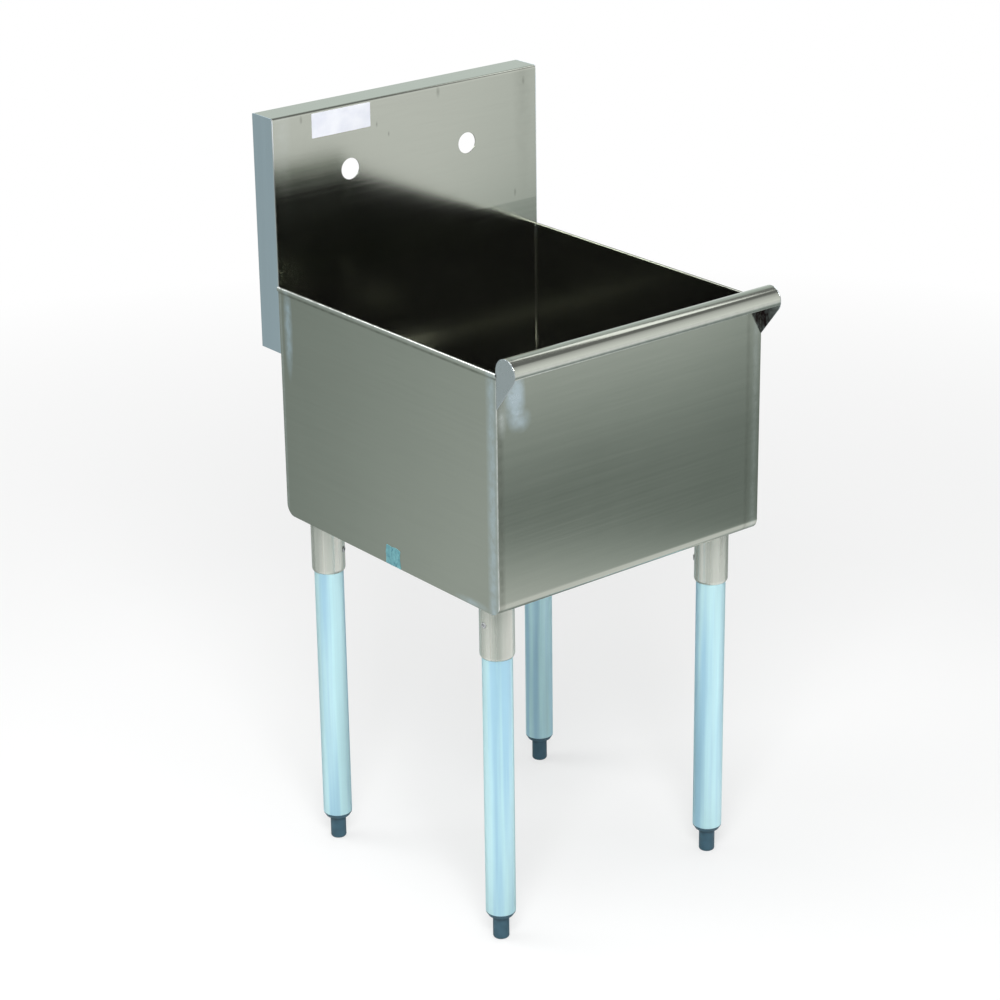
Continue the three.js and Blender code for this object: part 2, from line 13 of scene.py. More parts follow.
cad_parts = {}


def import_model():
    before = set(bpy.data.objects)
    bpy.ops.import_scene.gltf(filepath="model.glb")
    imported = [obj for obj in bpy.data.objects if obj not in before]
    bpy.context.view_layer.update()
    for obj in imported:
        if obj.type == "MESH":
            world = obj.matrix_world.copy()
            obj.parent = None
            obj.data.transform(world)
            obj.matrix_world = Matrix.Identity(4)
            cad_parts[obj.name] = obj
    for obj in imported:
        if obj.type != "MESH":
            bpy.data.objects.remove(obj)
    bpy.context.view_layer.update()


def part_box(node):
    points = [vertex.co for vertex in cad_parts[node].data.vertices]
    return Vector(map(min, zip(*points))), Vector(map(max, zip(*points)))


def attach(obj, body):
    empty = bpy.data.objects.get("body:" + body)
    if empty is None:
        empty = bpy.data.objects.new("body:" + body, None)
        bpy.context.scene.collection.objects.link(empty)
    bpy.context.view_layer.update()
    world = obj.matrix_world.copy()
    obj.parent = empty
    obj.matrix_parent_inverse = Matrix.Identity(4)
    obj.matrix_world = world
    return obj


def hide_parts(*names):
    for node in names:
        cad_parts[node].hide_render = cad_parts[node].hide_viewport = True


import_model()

MM = 0.001
QUARTER = math.pi / 2
FULL = 2 * math.pi
SIDES = (("left", -1), ("right", 1))


def mm(*values):
    return tuple(v * MM for v in values)


# ---- camera of the photograph

CAMERA_PLACE = (-2.364879, -2.907140, 2.051468)
CAMERA_AZIMUTH = math.radians(38.7493)
CAMERA_ELEVATION = math.radians(22.0065)
CAMERA_ROLL = math.radians(-0.7722)
CAMERA_LENS = 104.81
SENSOR_WIDTH = 36.0

# ---- sizes of the sheet metal

SHEET = 1.2 * MM
FLOOR_BEND = 16 * MM
SPLASH_BEND = 4 * MM
ROLL_RADIUS = 19.05 * MM
ROLL_WRAP = math.radians(193)
ROLL_CAP_DROP = 49 * MM
HEM_INSIDE = 0.6 * MM
HEM_LEAF = 4.2 * MM
RETURN_LIP = 12 * MM
CAP_FLANGE = 12 * MM
HOLE_RADIUS = 15 * MM
HOLE_SPACING = 203.2 * MM
HOLE_RISE = 142 * MM
DRAIN_HOLE_RADIUS = 44.5 * MM
CORNER_COVE = 4 * MM  # radius of the polished weld in the bowl's corners
COVE_DROP = 3 * MM  # how far below the rim it ends
COVE_BEND_STEPS = 12
COVE_STEPS = 8
GROUND_EDGE = 0.9 * MM  # rounding left by grinding the outer welds
CUT_EDGE = 0.25 * MM  # rounding of an ordinary cut edge
SEAM = 0.05 * MM  # how far welded faces reach into each other

side_low, side_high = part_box("left_side_panel")
cap_low, cap_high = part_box("left_backsplash_end_cap")
roll_cap_low, roll_cap_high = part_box("left_roll_end_cap")
body_low, body_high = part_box("strainer_body")

FRONT_Y = side_low.y
BACK_Y = side_high.y
UNDER_Z = side_low.z
RIM_Z = side_high.z
TOP_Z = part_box("bowl_and_backsplash_sheet")[1].z
WALL_Y = cap_high.y
SPLASH_Y = BACK_Y - SHEET
SPLASH_FOOT_Z = cap_low.z
SIDE_X = -roll_cap_low.x
INSIDE_X = SIDE_X - SHEET
ROLL_Y = FRONT_Y + SHEET - ROLL_RADIUS
ROLL_Z = roll_cap_high.z - ROLL_RADIUS
INSIDE_TOP = (RIM_Z + 15 * MM, RIM_Z - 25 * MM)  # where the finish of the bowl's inside fades in
DRAIN = ((body_low + body_high) / 2).xy

# ---- smoothness

ARC_STEP = math.radians(5)
TURN_STEPS = 72
CUP_STEPS = 96
STUD_STEPS = 48
SCREW_STEPS = 32
HOLE_STEPS = 24
THREAD_STEPS = 6  # in each pitch of a thread
SUPPORT = 2 * MM  # extra edge beside each bend, which keeps the flats flat
SHARP = math.radians(32)

# ---- outlines


def unit(angle):
    return Vector((math.cos(angle), math.sin(angle)))


def arc(centre, radius, start, end):
    """Points along an arc, both ends included. Angles are in radians, counterclockwise."""
    steps = max(2, math.ceil(abs(end - start) / ARC_STEP))
    turns = (start + (end - start) * i / steps for i in range(steps + 1))
    return [Vector(centre) + radius * unit(turn) for turn in turns]


def circle(centre, radius, steps=TURN_STEPS):
    return [Vector(centre) + radius * unit(FULL * i / steps) for i in range(steps)]


def rectangle(left, right, low, high):
    return [(left, low), (right, low), (right, high), (left, high)]


def rounded(corners, radius):
    """A closed outline with every corner turned into a small arc, limited by its two sides."""
    points = []
    for i, corner in enumerate(map(Vector, corners)):
        before = Vector(corners[i - 1]) - corner
        after = Vector(corners[(i + 1) % len(corners)]) - corner
        half = before.angle(after) / 2
        cut = min(radius / math.tan(half), before.length / 2.1, after.length / 2.1)
        start = corner + before.normalized() * cut
        end = corner + after.normalized() * cut
        for t in (0, 1 / 3, 2 / 3, 1):
            points.append((1 - t) ** 2 * start + 2 * t * (1 - t) * corner + t * t * end)
    return points


def folded(start, heading, moves):
    """The two faces of a folded sheet in section. A move is (run, turn, inside radius), and a turn
    to the left is positive."""
    here = Vector(start)
    left = []
    right = []

    def mark(angle):
        left.append(here.copy())
        right.append(here + SHEET * unit(angle - QUARTER))

    mark(heading)
    for run, turn, inside in moves:
        if not turn:
            supports = (SUPPORT, run - 2 * SUPPORT, SUPPORT) if run > 4 * SUPPORT else (run,)
            for step in supports:
                here = here + step * unit(heading)
                mark(heading)
            continue
        hand = math.copysign(1, turn)
        radius = inside if hand > 0 else inside + SHEET
        centre = here + radius * unit(heading + hand * QUARTER)
        steps = math.ceil(abs(turn) / ARC_STEP)
        for _ in range(steps):
            heading += turn / steps
            here = centre + radius * unit(heading - hand * QUARTER)
            mark(heading)
    return left, right


def along_x(place, point):
    return (place, *point)


def along_y(place, point):
    return (point[0], place, point[1])


def along_z(place, point):
    return (*point, place)


# ---- meshes


def placed(name, data):
    """A new object in the scene."""
    made = bpy.data.objects.new(name, data)
    bpy.context.scene.collection.objects.link(made)
    return made


def piece_from(name, vertices, faces):
    mesh = bpy.data.meshes.new(name)
    mesh.from_pydata([tuple(v) for v in vertices], [], faces)
    shell = bmesh.new()
    shell.from_mesh(mesh)
    bmesh.ops.recalc_face_normals(shell, faces=shell.faces)
    shell.to_mesh(mesh)
    shell.free()
    return placed(name, mesh)


def sheet_solid(name, section, low, high, place):
    """A folded sheet: its section, as (left, right) point lists, drawn out between two places."""
    left, right = section
    count = len(left)
    vertices = [place(at, p) for at in (low, high) for p in left + right]
    far = 2 * count
    faces = []
    for i in range(count - 1):
        faces.append((i, i + 1, far + i + 1, far + i))
        faces.append((count + i, far + count + i, far + count + i + 1, count + i + 1))
        faces.append((i, count + i, count + i + 1, i + 1))
        faces.append((far + i, far + i + 1, far + count + i + 1, far + count + i))
    for i in (0, count - 1):
        faces.append((i, far + i, far + count + i, count + i))
    return piece_from(name, vertices, faces)


def prism(name, outline, low, high, place):
    count = len(outline)
    vertices = [place(at, p) for at in (low, high) for p in outline]
    faces = [tuple(range(count)), tuple(range(count, 2 * count))]
    faces += [(i, (i + 1) % count, count + (i + 1) % count, count + i) for i in range(count)]
    return piece_from(name, vertices, faces)


def turned(name, outline, centre, widen=None, steps=TURN_STEPS):
    """A solid turned about a vertical axis from a closed outline of (radius, height) points.
    widen(radius, height, turn) may move a point in or out, as a thread does."""
    rings = []
    vertices = []
    for radius, height in outline:
        if radius < 1e-7:
            rings.append([len(vertices)] * steps)
            vertices.append((centre[0], centre[1], height))
            continue
        rings.append(list(range(len(vertices), len(vertices) + steps)))
        for i in range(steps):
            turn = FULL * i / steps
            reach = widen(radius, height, turn) if widen else radius
            x, y = reach * unit(turn)
            vertices.append((centre[0] + x, centre[1] + y, height))
    faces = []
    for a, b in zip(rings, rings[1:] + rings[:1]):
        if a[0] == a[1] and b[0] == b[1]:
            continue
        for i in range(steps):
            j = (i + 1) % steps
            faces.append(tuple(dict.fromkeys((a[i], a[j], b[j], b[i]))))
    return piece_from(name, vertices, faces)


def swept(name, section, path, closed=False):
    """A closed section carried along a path of (origin, u axis, v axis) frames."""
    count = len(section)
    vertices = [o + p[0] * u + p[1] * v for o, u, v in path for p in section]
    stations = len(path)
    faces = []
    for j in range(stations if closed else stations - 1):
        a = j * count
        b = (j + 1) % stations * count
        faces += [(a + i, a + (i + 1) % count, b + (i + 1) % count, b + i) for i in range(count)]
    if not closed:
        faces += [tuple(range(count)), tuple(range((stations - 1) * count, stations * count))]
    return piece_from(name, vertices, faces)


def carve(piece, cutter, operation="DIFFERENCE"):
    """Cuts the piece by another mesh, which is used up."""
    modifier = piece.modifiers.new("carve", "BOOLEAN")
    modifier.operation = operation
    modifier.object = cutter
    modifier.solver = "EXACT"
    graph = bpy.context.evaluated_depsgraph_get()
    made = bpy.data.meshes.new_from_object(piece.evaluated_get(graph))
    made.name = piece.name
    piece.modifiers.clear()
    piece.data = made
    bpy.data.objects.remove(cutter)
    return piece


def joined(pieces):
    """Several meshes as one, for cutting with."""
    made = bmesh.new()
    for piece in pieces:
        made.from_mesh(piece.data)
    mesh = bpy.data.meshes.new("joined")
    made.to_mesh(mesh)
    made.free()
    for piece in pieces:
        bpy.data.objects.remove(piece)
    return placed("joined", mesh)


def shade(piece, edge, steps):
    """Rounds the sharp edges and shades the rest smoothly, with flat faces kept flat."""
    piece.data.shade_smooth()
    if edge:
        bevel = piece.modifiers.new("edges", "BEVEL")
        bevel.width = edge
        bevel.segments = steps
        bevel.limit_method = "ANGLE"
        bevel.angle_limit = SHARP
    else:
        piece.data.set_sharp_from_angle(angle=SHARP)
    weighted = piece.modifiers.new("flat faces", "WEIGHTED_NORMAL")
    weighted.keep_sharp = True


def dress(piece, slot, finish, *replaced, body="sink", edge=0.0, steps=2):
    """Shades a piece, gives it its body and its material, and hides the nodes it stands for."""
    shade(piece, edge, steps)
    piece.data.materials.clear()
    piece.data.materials.append(finish)
    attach(piece, body)
    if replaced:
        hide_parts(*replaced)


# ---- materials


def srgb(red, green, blue):
    """A colour from its 0 to 255 display values."""
    parts = (c / 255 for c in (red, green, blue))
    linear = (c / 12.92 if c <= 0.04045 else ((c + 0.055) / 1.055) ** 2.4 for c in parts)
    return (*linear, 1.0)


def scaled(colour, factor):
    return tuple(min(1.0, c * factor) for c in colour[:3]) + (1.0,)


def around(colour, contrast):
    return scaled(colour, 1 - contrast), scaled(colour, 1 + contrast)


STEEL = srgb(180, 184, 174)
CAP_STEEL = srgb(220, 236, 250)
INNER_STEEL = srgb(178, 179, 170)
INNER_METALLIC = 0.993  # a little dulled by the polishing dust in it
GROUND = srgb(206, 212, 208)
# Painted highlight: a near-white colour laid as lines along the roll's front, the left hem, the left
# front corner and the backsplash's side edges.
PAINTED_HIGHLIGHT = srgb(244, 246, 244)
GREY = srgb(190, 198, 202)
# A darker colour. Under the left hem it is painted shadow, on the dents painted shade, and in the
# holes' walls partly painted shade and partly their duller cut finish; elsewhere it darkens strips
# near the front's corners, on the right hem's top and at the backsplash's top right.
DULL_AND_SHADE = srgb(120, 124, 114)
WELD_BLUE = srgb(210, 224, 232)
HEAT_TINT = srgb(44, 32, 34)
ZINC_BLUE = srgb(148, 194, 222)
TALL = 2000  # a mark with this half size, in millimetres, has no ends
SPLASH_BOW = 3.3 * MM  # how far the backsplash's top edge is dished
BOW_END_Z = RIM_Z + 40 * MM
HAIRLINE_DEPTH = 0.004 * MM
DRAWN_LINE_DEPTH = 0.003 * MM
BUCKLE_DEPTH = 0.5 * MM
TUBE_WAVE_DEPTH = 0.25 * MM
STREAK_SHARE = 0.4
BRUSHED_SHARE = 0.012
BRUSHED_ROUGHNESS = 0.11
CLOUD_LIGHT = 1.4
MARK_ROUGHNESS = 0.1
PATCH_CORE = 0.2  # how much of a patch has its full strength

# The finishes' noises, in waves a metre, and where most of a noise's values lie.
HAIRLINES = 1500
STREAKS = 260
RAGGED = 90
CLOUDS = 7
BUCKLES = 3.2
DRAWN_LINES = 900
DRAWN_BANDS = 80
BLOTCHES = 56
TUBE_WAVES = 9
GRIT = 1800
NOISE_SPAN = (0.3, 0.7)


class Graph:
    """Short ways to add and link the nodes of one shader tree."""

    def __init__(self, tree):
        self.tree = tree

    def feed(self, socket, value):
        if isinstance(value, bpy.types.NodeSocket):
            self.tree.links.new(value, socket)
        else:
            socket.default_value = value

    def node(self, kind, inputs=None, **settings):
        made = self.tree.nodes.new("ShaderNode" + kind)
        for name, value in settings.items():
            setattr(made, name, value)
        for socket, value in (inputs or {}).items():
            self.feed(made.inputs[socket], value)
        return made

    def maths(self, operation, a, b):
        return self.node("Math", {0: a, 1: b}, operation=operation).outputs[0]

    def times(self, a, b):
        return self.maths("MULTIPLY", a, b)

    def larger(self, a, b):
        return self.maths("MAXIMUM", a, b)

    def vector(self, operation, a, b=(0, 0, 0)):
        outputs = self.node("VectorMath", {0: a, 1: b}, operation=operation).outputs
        return outputs["Value" if operation in ("LENGTH", "DOT_PRODUCT") else "Vector"]

    def parts(self, vector):
        return self.node("SeparateXYZ", {0: vector}).outputs

    def remap(self, value, low, high, new_low=0.0, new_high=1.0):
        inputs = {"Value": value, 1: low, 2: high, 3: new_low, 4: new_high}
        return self.node("MapRange", inputs).outputs[0]

    def blend(self, a, b, share):
        """Value a, with the given share of it made up by b."""
        return self.maths("ADD", self.times(a, 1 - share), self.times(b, share))

    def mix(self, factor, a, b):
        return self.node("Mix", {0: factor, 6: a, 7: b}, data_type="RGBA").outputs[2]


class Finish(Graph):
    """A procedural material: a Principled shader, and the nodes that vary it over the surface."""

    def __init__(self, name, colour, roughness, metallic):
        self.material = bpy.data.materials.new(name)
        self.material.use_nodes = True
        super().__init__(self.material.node_tree)
        self.shader = self.tree.nodes["Principled BSDF"]
        self.normal = None
        self.set("Base Color", colour)
        self.set("Roughness", roughness)
        self.set("Metallic", metallic)
        self.place = self.node("TexCoord").outputs["Object"]

    def set(self, socket, value):
        self.feed(self.shader.inputs[socket], value)

    def noise(self, scale, stretch=(1, 1, 1), detail=2.0, distortion=0.0):
        """Noise from 0 to 1 with so many waves a metre, drawn out along an axis of small stretch."""
        place = self.vector("MULTIPLY", self.place, stretch)
        inputs = {"Vector": place, "Scale": scale, "Detail": detail, "Distortion": distortion}
        return self.node("TexNoise", inputs).outputs[0]

    def patch(self, centre, half_sizes):
        """1 in the middle of an ellipsoid, falling to 0 at its surface."""
        shares = self.vector("DIVIDE", self.vector("SUBTRACT", self.place, centre), half_sizes)
        return self.remap(self.vector("LENGTH", shares), 1.0, PATCH_CORE)

    def inside_bowl(self):
        """1 on the faces that look into the bowl, and 0 elsewhere."""
        normal = self.node("NewGeometry").outputs["Normal"]
        inwards = self.vector("SUBTRACT", (0, 0, RIM_Z), self.place)
        facing = self.remap(self.vector("DOT_PRODUCT", normal, inwards), 0.0, 5 * MM)
        parts = self.parts(self.place)
        low = self.remap(parts["Z"], *INSIDE_TOP)
        behind_front = self.remap(parts["Y"], FRONT_Y, FRONT_Y + SHEET / 2)
        return self.times(self.times(facing, low), behind_front)

    def mottle(self, pattern, dark, pale, smooth, rough):
        """Colour and roughness that follow a pattern."""
        self.set("Base Color", self.mix(self.remap(pattern, *NOISE_SPAN), dark, pale))
        self.set("Roughness", self.remap(pattern, *NOISE_SPAN, smooth, rough))

    def bump(self, height, distance):
        inputs = {"Height": height, "Distance": distance}
        if self.normal is not None:
            inputs["Normal"] = self.normal
        self.normal = self.node("Bump", inputs).outputs[0]
        self.set("Normal", self.normal)

    def stretch_across(self, grain, amount):
        """Draws highlights out across the grain, as fine parallel scratches do."""
        along = [float(axis == grain) for axis in "xyz"]
        self.set("Anisotropic", amount)
        normal = self.node("NewGeometry").outputs["Normal"]
        self.set("Tangent", self.vector("CROSS_PRODUCT", normal, along))


def drawn_out(grain, share):
    """Stretch that makes noise long along the grain: the share of its waves that remain there."""
    return tuple(share if axis == grain else 1.0 for axis in "xyz")


def brushed(name, colour, grain, marks):
    """Brushed stainless: hairlines along the grain, faint streaks and clouds, and slight waves.
    The bowl's inside is smoother, and its colour plainer. A mark is (centre, half sizes, colour,
    strength)."""
    finish = Finish(name, colour, BRUSHED_ROUGHNESS, metallic=1.0)
    hairlines = finish.noise(HAIRLINES, drawn_out(grain, BRUSHED_SHARE), detail=3)
    streaks = finish.noise(STREAKS, drawn_out(grain, BRUSHED_SHARE), detail=3)
    clouds = finish.remap(finish.noise(CLOUDS, detail=3, distortion=0.6), 0.35, 0.7)
    tone = finish.blend(hairlines, streaks, STREAK_SHARE)
    paint = finish.mix(finish.remap(tone, *NOISE_SPAN), *around(colour, 0.03))
    paint = finish.mix(finish.times(clouds, 0.05), paint, scaled(colour, CLOUD_LIGHT))
    rough = finish.remap(streaks, *NOISE_SPAN, BRUSHED_ROUGHNESS - 0.01, BRUSHED_ROUGHNESS + 0.02)
    rough = finish.maths("ADD", rough, finish.times(clouds, 0.02))
    ragged = finish.remap(finish.noise(RAGGED, detail=4), *NOISE_SPAN, 0.45, 1.0)
    for centre, half_sizes, mark_colour, strength in marks:
        mask = finish.times(finish.times(finish.patch(centre, half_sizes), strength), ragged)
        paint = finish.mix(mask, paint, mark_colour)
        rough = finish.maths("ADD", rough, finish.times(mask, MARK_ROUGHNESS))
    inside = finish.inside_bowl()
    paint = finish.mix(inside, paint, INNER_STEEL)
    rough = finish.maths("SUBTRACT", rough, finish.times(inside, 0.03))
    finish.set("Base Color", paint)
    finish.set("Metallic", finish.remap(inside, 0.0, 1.0, 1.0, INNER_METALLIC))
    finish.set("Roughness", rough)
    finish.stretch_across(grain, 0.35)
    finish.bump(finish.noise(BUCKLES, detail=1), BUCKLE_DEPTH)
    if grain == "x":
        height = finish.parts(finish.place)["Z"]
        finish.bump(finish.remap(height, TOP_Z, BOW_END_Z), SPLASH_BOW)
    finish.bump(hairlines, HAIRLINE_DEPTH)
    return "brushed_stainless", finish.material


# Across, up and half the width of each small dent in the backsplash, in millimetres. A dent is drawn
# only as a spot of painted shade.
DENT_SHADE_SPOTS = (
    (52, 1063, 4), (-35, 1019, 2), (-55, 1036, 2),
    (-181, 1064, 3), (205, 1055, 3), (188, 894, 3),
)


def sheet_finish():
    """The long folded sheet: ground strips along its edges, the weld below the roll's left end, a
    painted highlight along the roll's front, darker strips near the front's corners and at the
    backsplash's top right, small dents in the backsplash drawn only as spots of painted shade, and
    its two holes' cut edges, darkened partly by their duller finish and partly as painted shade."""
    left, right = -SIDE_X, SIDE_X
    marks = [
        ((left + 30 * MM, FRONT_Y, 798 * MM), mm(19, 9, 46), WELD_BLUE, 1.8),
        ((left + 41 * MM, FRONT_Y, 768 * MM), mm(17, 9, 18), WELD_BLUE, 1.0),
        # A darker strip along the front's left edge and the roll's left end.
        ((left + 5 * MM, FRONT_Y, RIM_Z), mm(8, 40, TALL), DULL_AND_SHADE, 0.6),
        ((left + 9 * MM, FRONT_Y, 776 * MM), mm(9, 9, 30), GROUND, 1.0),
        # Painted highlight: a pale band along the roll's front.
        ((0, ROLL_Y - ROLL_RADIUS, ROLL_Z - 3 * MM), mm(TALL, 9, 8), PAINTED_HIGHLIGHT, 0.5),
        # A darker strip near the front's right corner.
        ((right - 23 * MM, FRONT_Y, RIM_Z), mm(5, 9, TALL), DULL_AND_SHADE, 0.35),
        ((right - 9 * MM, FRONT_Y, RIM_Z), mm(8, 9, TALL), GROUND, 0.6),
        # A darker patch at the backsplash's top right.
        ((right - 25 * MM, SPLASH_Y, TOP_Z), mm(20, 9, 200), DULL_AND_SHADE, 0.2),
        ((left + 16 * MM, SPLASH_Y, TOP_Z), mm(16, 9, 200), GROUND, 0.3),
    ]
    # Each dent is painted shade only: a darker spot, with no dent in the surface.
    for x, z, size in DENT_SHADE_SPOTS:
        marks.append(((x * MM, SPLASH_Y, z * MM), mm(size, 3, size * 2.4), DULL_AND_SHADE, 0.5))
    # The holes' walls are darker, partly from their cut finish and partly as painted shade.
    for side in (-1, 1):
        centre = (side * HOLE_SPACING / 2, SPLASH_Y + SHEET / 2, RIM_Z + HOLE_RISE)
        marks.append((centre, (2 * HOLE_RADIUS, SHEET / 2, 2 * HOLE_RADIUS), DULL_AND_SHADE, 3))
    return brushed("brushed_sheet", STEEL, "x", marks)


def side_finish():
    """A side panel: the strips of ground weld at its front and rear edges, a painted highlight along
    the left hem's top and down the left front corner, painted shadow under the left hem, and a
    darker strip on the right hem's top.
    """
    left, right = -SIDE_X, SIDE_X
    marks = [
        ((left, BACK_Y - 20 * MM, 785 * MM), mm(9, 11, 80), WELD_BLUE, 1.5),
        ((left, BACK_Y - 3 * MM, RIM_Z), mm(9, 4, TALL), GROUND, 0.9),
        # A darker strip on the right hem's top.
        ((right, 0, RIM_Z), mm(9, TALL, 5), DULL_AND_SHADE, 1.4),
        ((left, FRONT_Y + 10 * MM, RIM_Z), mm(9, 13, TALL), WELD_BLUE, 0.8),
        ((left, FRONT_Y + 54 * MM, UNDER_Z + 4 * MM), mm(9, 40, 7), WELD_BLUE, 0.7),
        # Painted highlight down the left front corner.
        ((left, FRONT_Y, RIM_Z), mm(9, 2.4, TALL), PAINTED_HIGHLIGHT, 1.0),
        # Painted highlight along the left hem's top.
        ((left, 0, RIM_Z), mm(9, TALL, 5), PAINTED_HIGHLIGHT, 1.0),
        # Painted shadow under the left hem's leaf.
        ((left, 0, RIM_Z - 8 * MM), mm(9, TALL, 3), DULL_AND_SHADE, 0.9),
    ]
    return brushed("brushed_side", STEEL, "y", marks)


def cap_finish():
    """The end caps: bright edges along the backsplash's face, where the ground welds carry a painted
    highlight, and the heat tint that welding left on the inner faces of the roll's caps."""
    marks = []
    for side in (-1, 1):
        # Painted highlight on the ground weld along the backsplash's face.
        marks.append(((side * SIDE_X, SPLASH_Y, TOP_Z), mm(9, 2.6, TALL), PAINTED_HIGHLIGHT, 1.0))
        outer = (side * SIDE_X, FRONT_Y - 14 * MM, RIM_Z - 16 * MM)
        marks.append((outer, (4 * SHEET, *mm(90, 90)), GREY, 2.4))
        tinted = (side * (INSIDE_X - 0.1 * MM), FRONT_Y - 4 * MM, RIM_Z - 28 * MM)
        marks.append((tinted, (SHEET, *mm(48, 48)), HEAT_TINT, 1.5))
    return brushed("brushed_cap", CAP_STEEL, "z", marks)


def drawn_steel(name, colour, roughness, contrast, metallic, blotches=0.0, blotch_colour=None):
    """A drawn or plated tube finish, with streaks down its length and, if asked, faint blotches."""
    finish = Finish(name, colour, roughness, metallic)
    fine = finish.noise(DRAWN_LINES, drawn_out("z", 0.01), detail=3)
    broad = finish.noise(DRAWN_BANDS, drawn_out("z", 0.02), detail=3)
    tone = finish.remap(finish.blend(fine, broad, 0.8), 0.32, 0.68)
    paint = finish.mix(tone, *around(colour, contrast))
    if blotches:
        spots = finish.remap(finish.noise(BLOTCHES, drawn_out("z", 0.03), detail=3), 0.46, 0.62)
        paint = finish.mix(finish.times(spots, blotches), paint, blotch_colour)
    finish.set("Base Color", paint)
    finish.set("Roughness", finish.remap(broad, *NOISE_SPAN, roughness - 0.04, roughness + 0.06))
    finish.stretch_across("z", 0.4)
    finish.bump(fine, DRAWN_LINE_DEPTH)
    finish.bump(finish.noise(TUBE_WAVES, detail=2), TUBE_WAVE_DEPTH)
    return name, finish.material


def moulded(name, colour, roughness, grit):
    """Moulded plastic, rubber or fibre with a fine grit and slightly uneven colour."""
    finish = Finish(name, colour, roughness, metallic=0.0)
    clouds = finish.noise(RAGGED, detail=3)
    finish.mottle(clouds, *around(colour, 0.14), roughness - 0.05, roughness + 0.07)
    finish.bump(finish.noise(GRIT, detail=2), grit)
    return name, finish.material


def sticker_finish():
    finish = Finish("white_vinyl", srgb(222, 225, 234), 0.4, metallic=0.0)
    clouds = finish.noise(45, detail=3)
    finish.mottle(clouds, srgb(216, 219, 229), srgb(230, 232, 238), 0.34, 0.46)
    finish.bump(finish.noise(60, detail=3), 0.05 * MM)
    return "white_vinyl", finish.material


def film_finish():
    finish = Finish("teal_film", srgb(88, 150, 158), 0.3, metallic=0.0)
    folds = finish.noise(140, detail=4, distortion=1.0)
    # The colour follows the folds' height, paler on their ridges and darker in their hollows:
    # painted light and shade of the folds.
    paint = finish.mix(finish.remap(folds, 0.35, 0.65), srgb(74, 130, 142), srgb(114, 172, 178))
    finish.set("Base Color", paint)
    finish.set("Roughness", finish.remap(folds, *NOISE_SPAN, 0.25, 0.42))
    finish.bump(folds, 0.3 * MM)
    return "teal_film", finish.material


steel_sheet = sheet_finish()
steel_side = side_finish()
steel_cap = cap_finish()
satin = drawn_steel("satin_stainless", srgb(212, 214, 206), 0.25, 0.16, 0.85)
galvanised = drawn_steel("galvanised_steel", srgb(192, 230, 237), 0.32, 0.08, 0.35, 0.65, ZINC_BLUE)
zinc = drawn_steel("zinc_plate", srgb(196, 198, 200), 0.42, 0.08, 0.7)
slate = moulded("slate_plastic", srgb(54, 88, 104), 0.48, 0.01 * MM)
rubber = moulded("black_rubber", srgb(26, 26, 28), 0.75, 0.02 * MM)
fibre = moulded("fibre_washer", srgb(156, 92, 62), 0.8, 0.03 * MM)

# ---- bowl, backsplash and roll


def folded_sheet():
    """One sheet makes the roll, the front, the bowl floor, the back and the backsplash."""
    lip = Vector((ROLL_Y, ROLL_Z)) + ROLL_RADIUS * unit(ROLL_WRAP)
    floor_fold = (0, QUARTER, FLOOR_BEND - SHEET)
    top_fold = (0, -QUARTER, SPLASH_BEND - SHEET)
    section = folded(lip, ROLL_WRAP - QUARTER, [
        (0, -ROLL_WRAP, ROLL_RADIUS - SHEET),
        (ROLL_Z - UNDER_Z - FLOOR_BEND, 0, 0),
        floor_fold,
        (BACK_Y - FRONT_Y - 2 * FLOOR_BEND, 0, 0),
        floor_fold,
        (TOP_Z - SPLASH_BEND - UNDER_Z - FLOOR_BEND, 0, 0),
        top_fold,
        (WALL_Y - SPLASH_Y - 2 * SPLASH_BEND, 0, 0),
        top_fold,
        (RETURN_LIP - SPLASH_BEND, 0, 0),
    ])
    end = INSIDE_X + SEAM
    piece = sheet_solid("folded_sheet", section, -end, end, along_x)
    holes = [
        prism("hole", circle((side * HOLE_SPACING / 2, RIM_Z + HOLE_RISE), HOLE_RADIUS),
              SPLASH_Y - SHEET, BACK_Y + SHEET, along_y)
        for side in (-1, 1)
    ]
    holes.append(prism("hole", circle(DRAIN, DRAIN_HOLE_RADIUS),
                       UNDER_Z - SHEET, UNDER_Z + 2 * SHEET, along_z))
    carve(piece, joined(holes))
    dress(piece, *steel_sheet, "bowl_and_backsplash_sheet", edge=CUT_EDGE)


def side_outline():
    bend_z = UNDER_Z + FLOOR_BEND
    above = RIM_Z + SHEET
    return [
        *arc((BACK_Y - FLOOR_BEND, bend_z), FLOOR_BEND, 0, -QUARTER),
        *arc((FRONT_Y + FLOOR_BEND, bend_z), FLOOR_BEND, -QUARTER, -2 * QUARTER),
        (FRONT_Y, above),
        (BACK_Y, above),
    ]


def side_panel(hand, side):
    """A flat side with its top edge hemmed outwards and its outer edge ground round."""
    hem_outside = HEM_INSIDE + SHEET
    left, right = folded((INSIDE_X, UNDER_Z), QUARTER, [
        (RIM_Z - hem_outside - UNDER_Z, 0, 0),
        (0, -2 * QUARTER, HEM_INSIDE),
        (HEM_LEAF, 0, 0),
    ])
    section = [[(side * p.x, p.y) for p in face] for face in (left, right)]
    piece = sheet_solid(f"{hand}_side_skin", section, FRONT_Y, BACK_Y, along_y)
    reach = SIDE_X + 3 * hem_outside
    carve(piece, prism("outline", side_outline(), -reach, reach, along_x), "INTERSECT")
    dress(piece, *steel_side, f"{hand}_side_panel", edge=GROUND_EDGE / 2, steps=3)


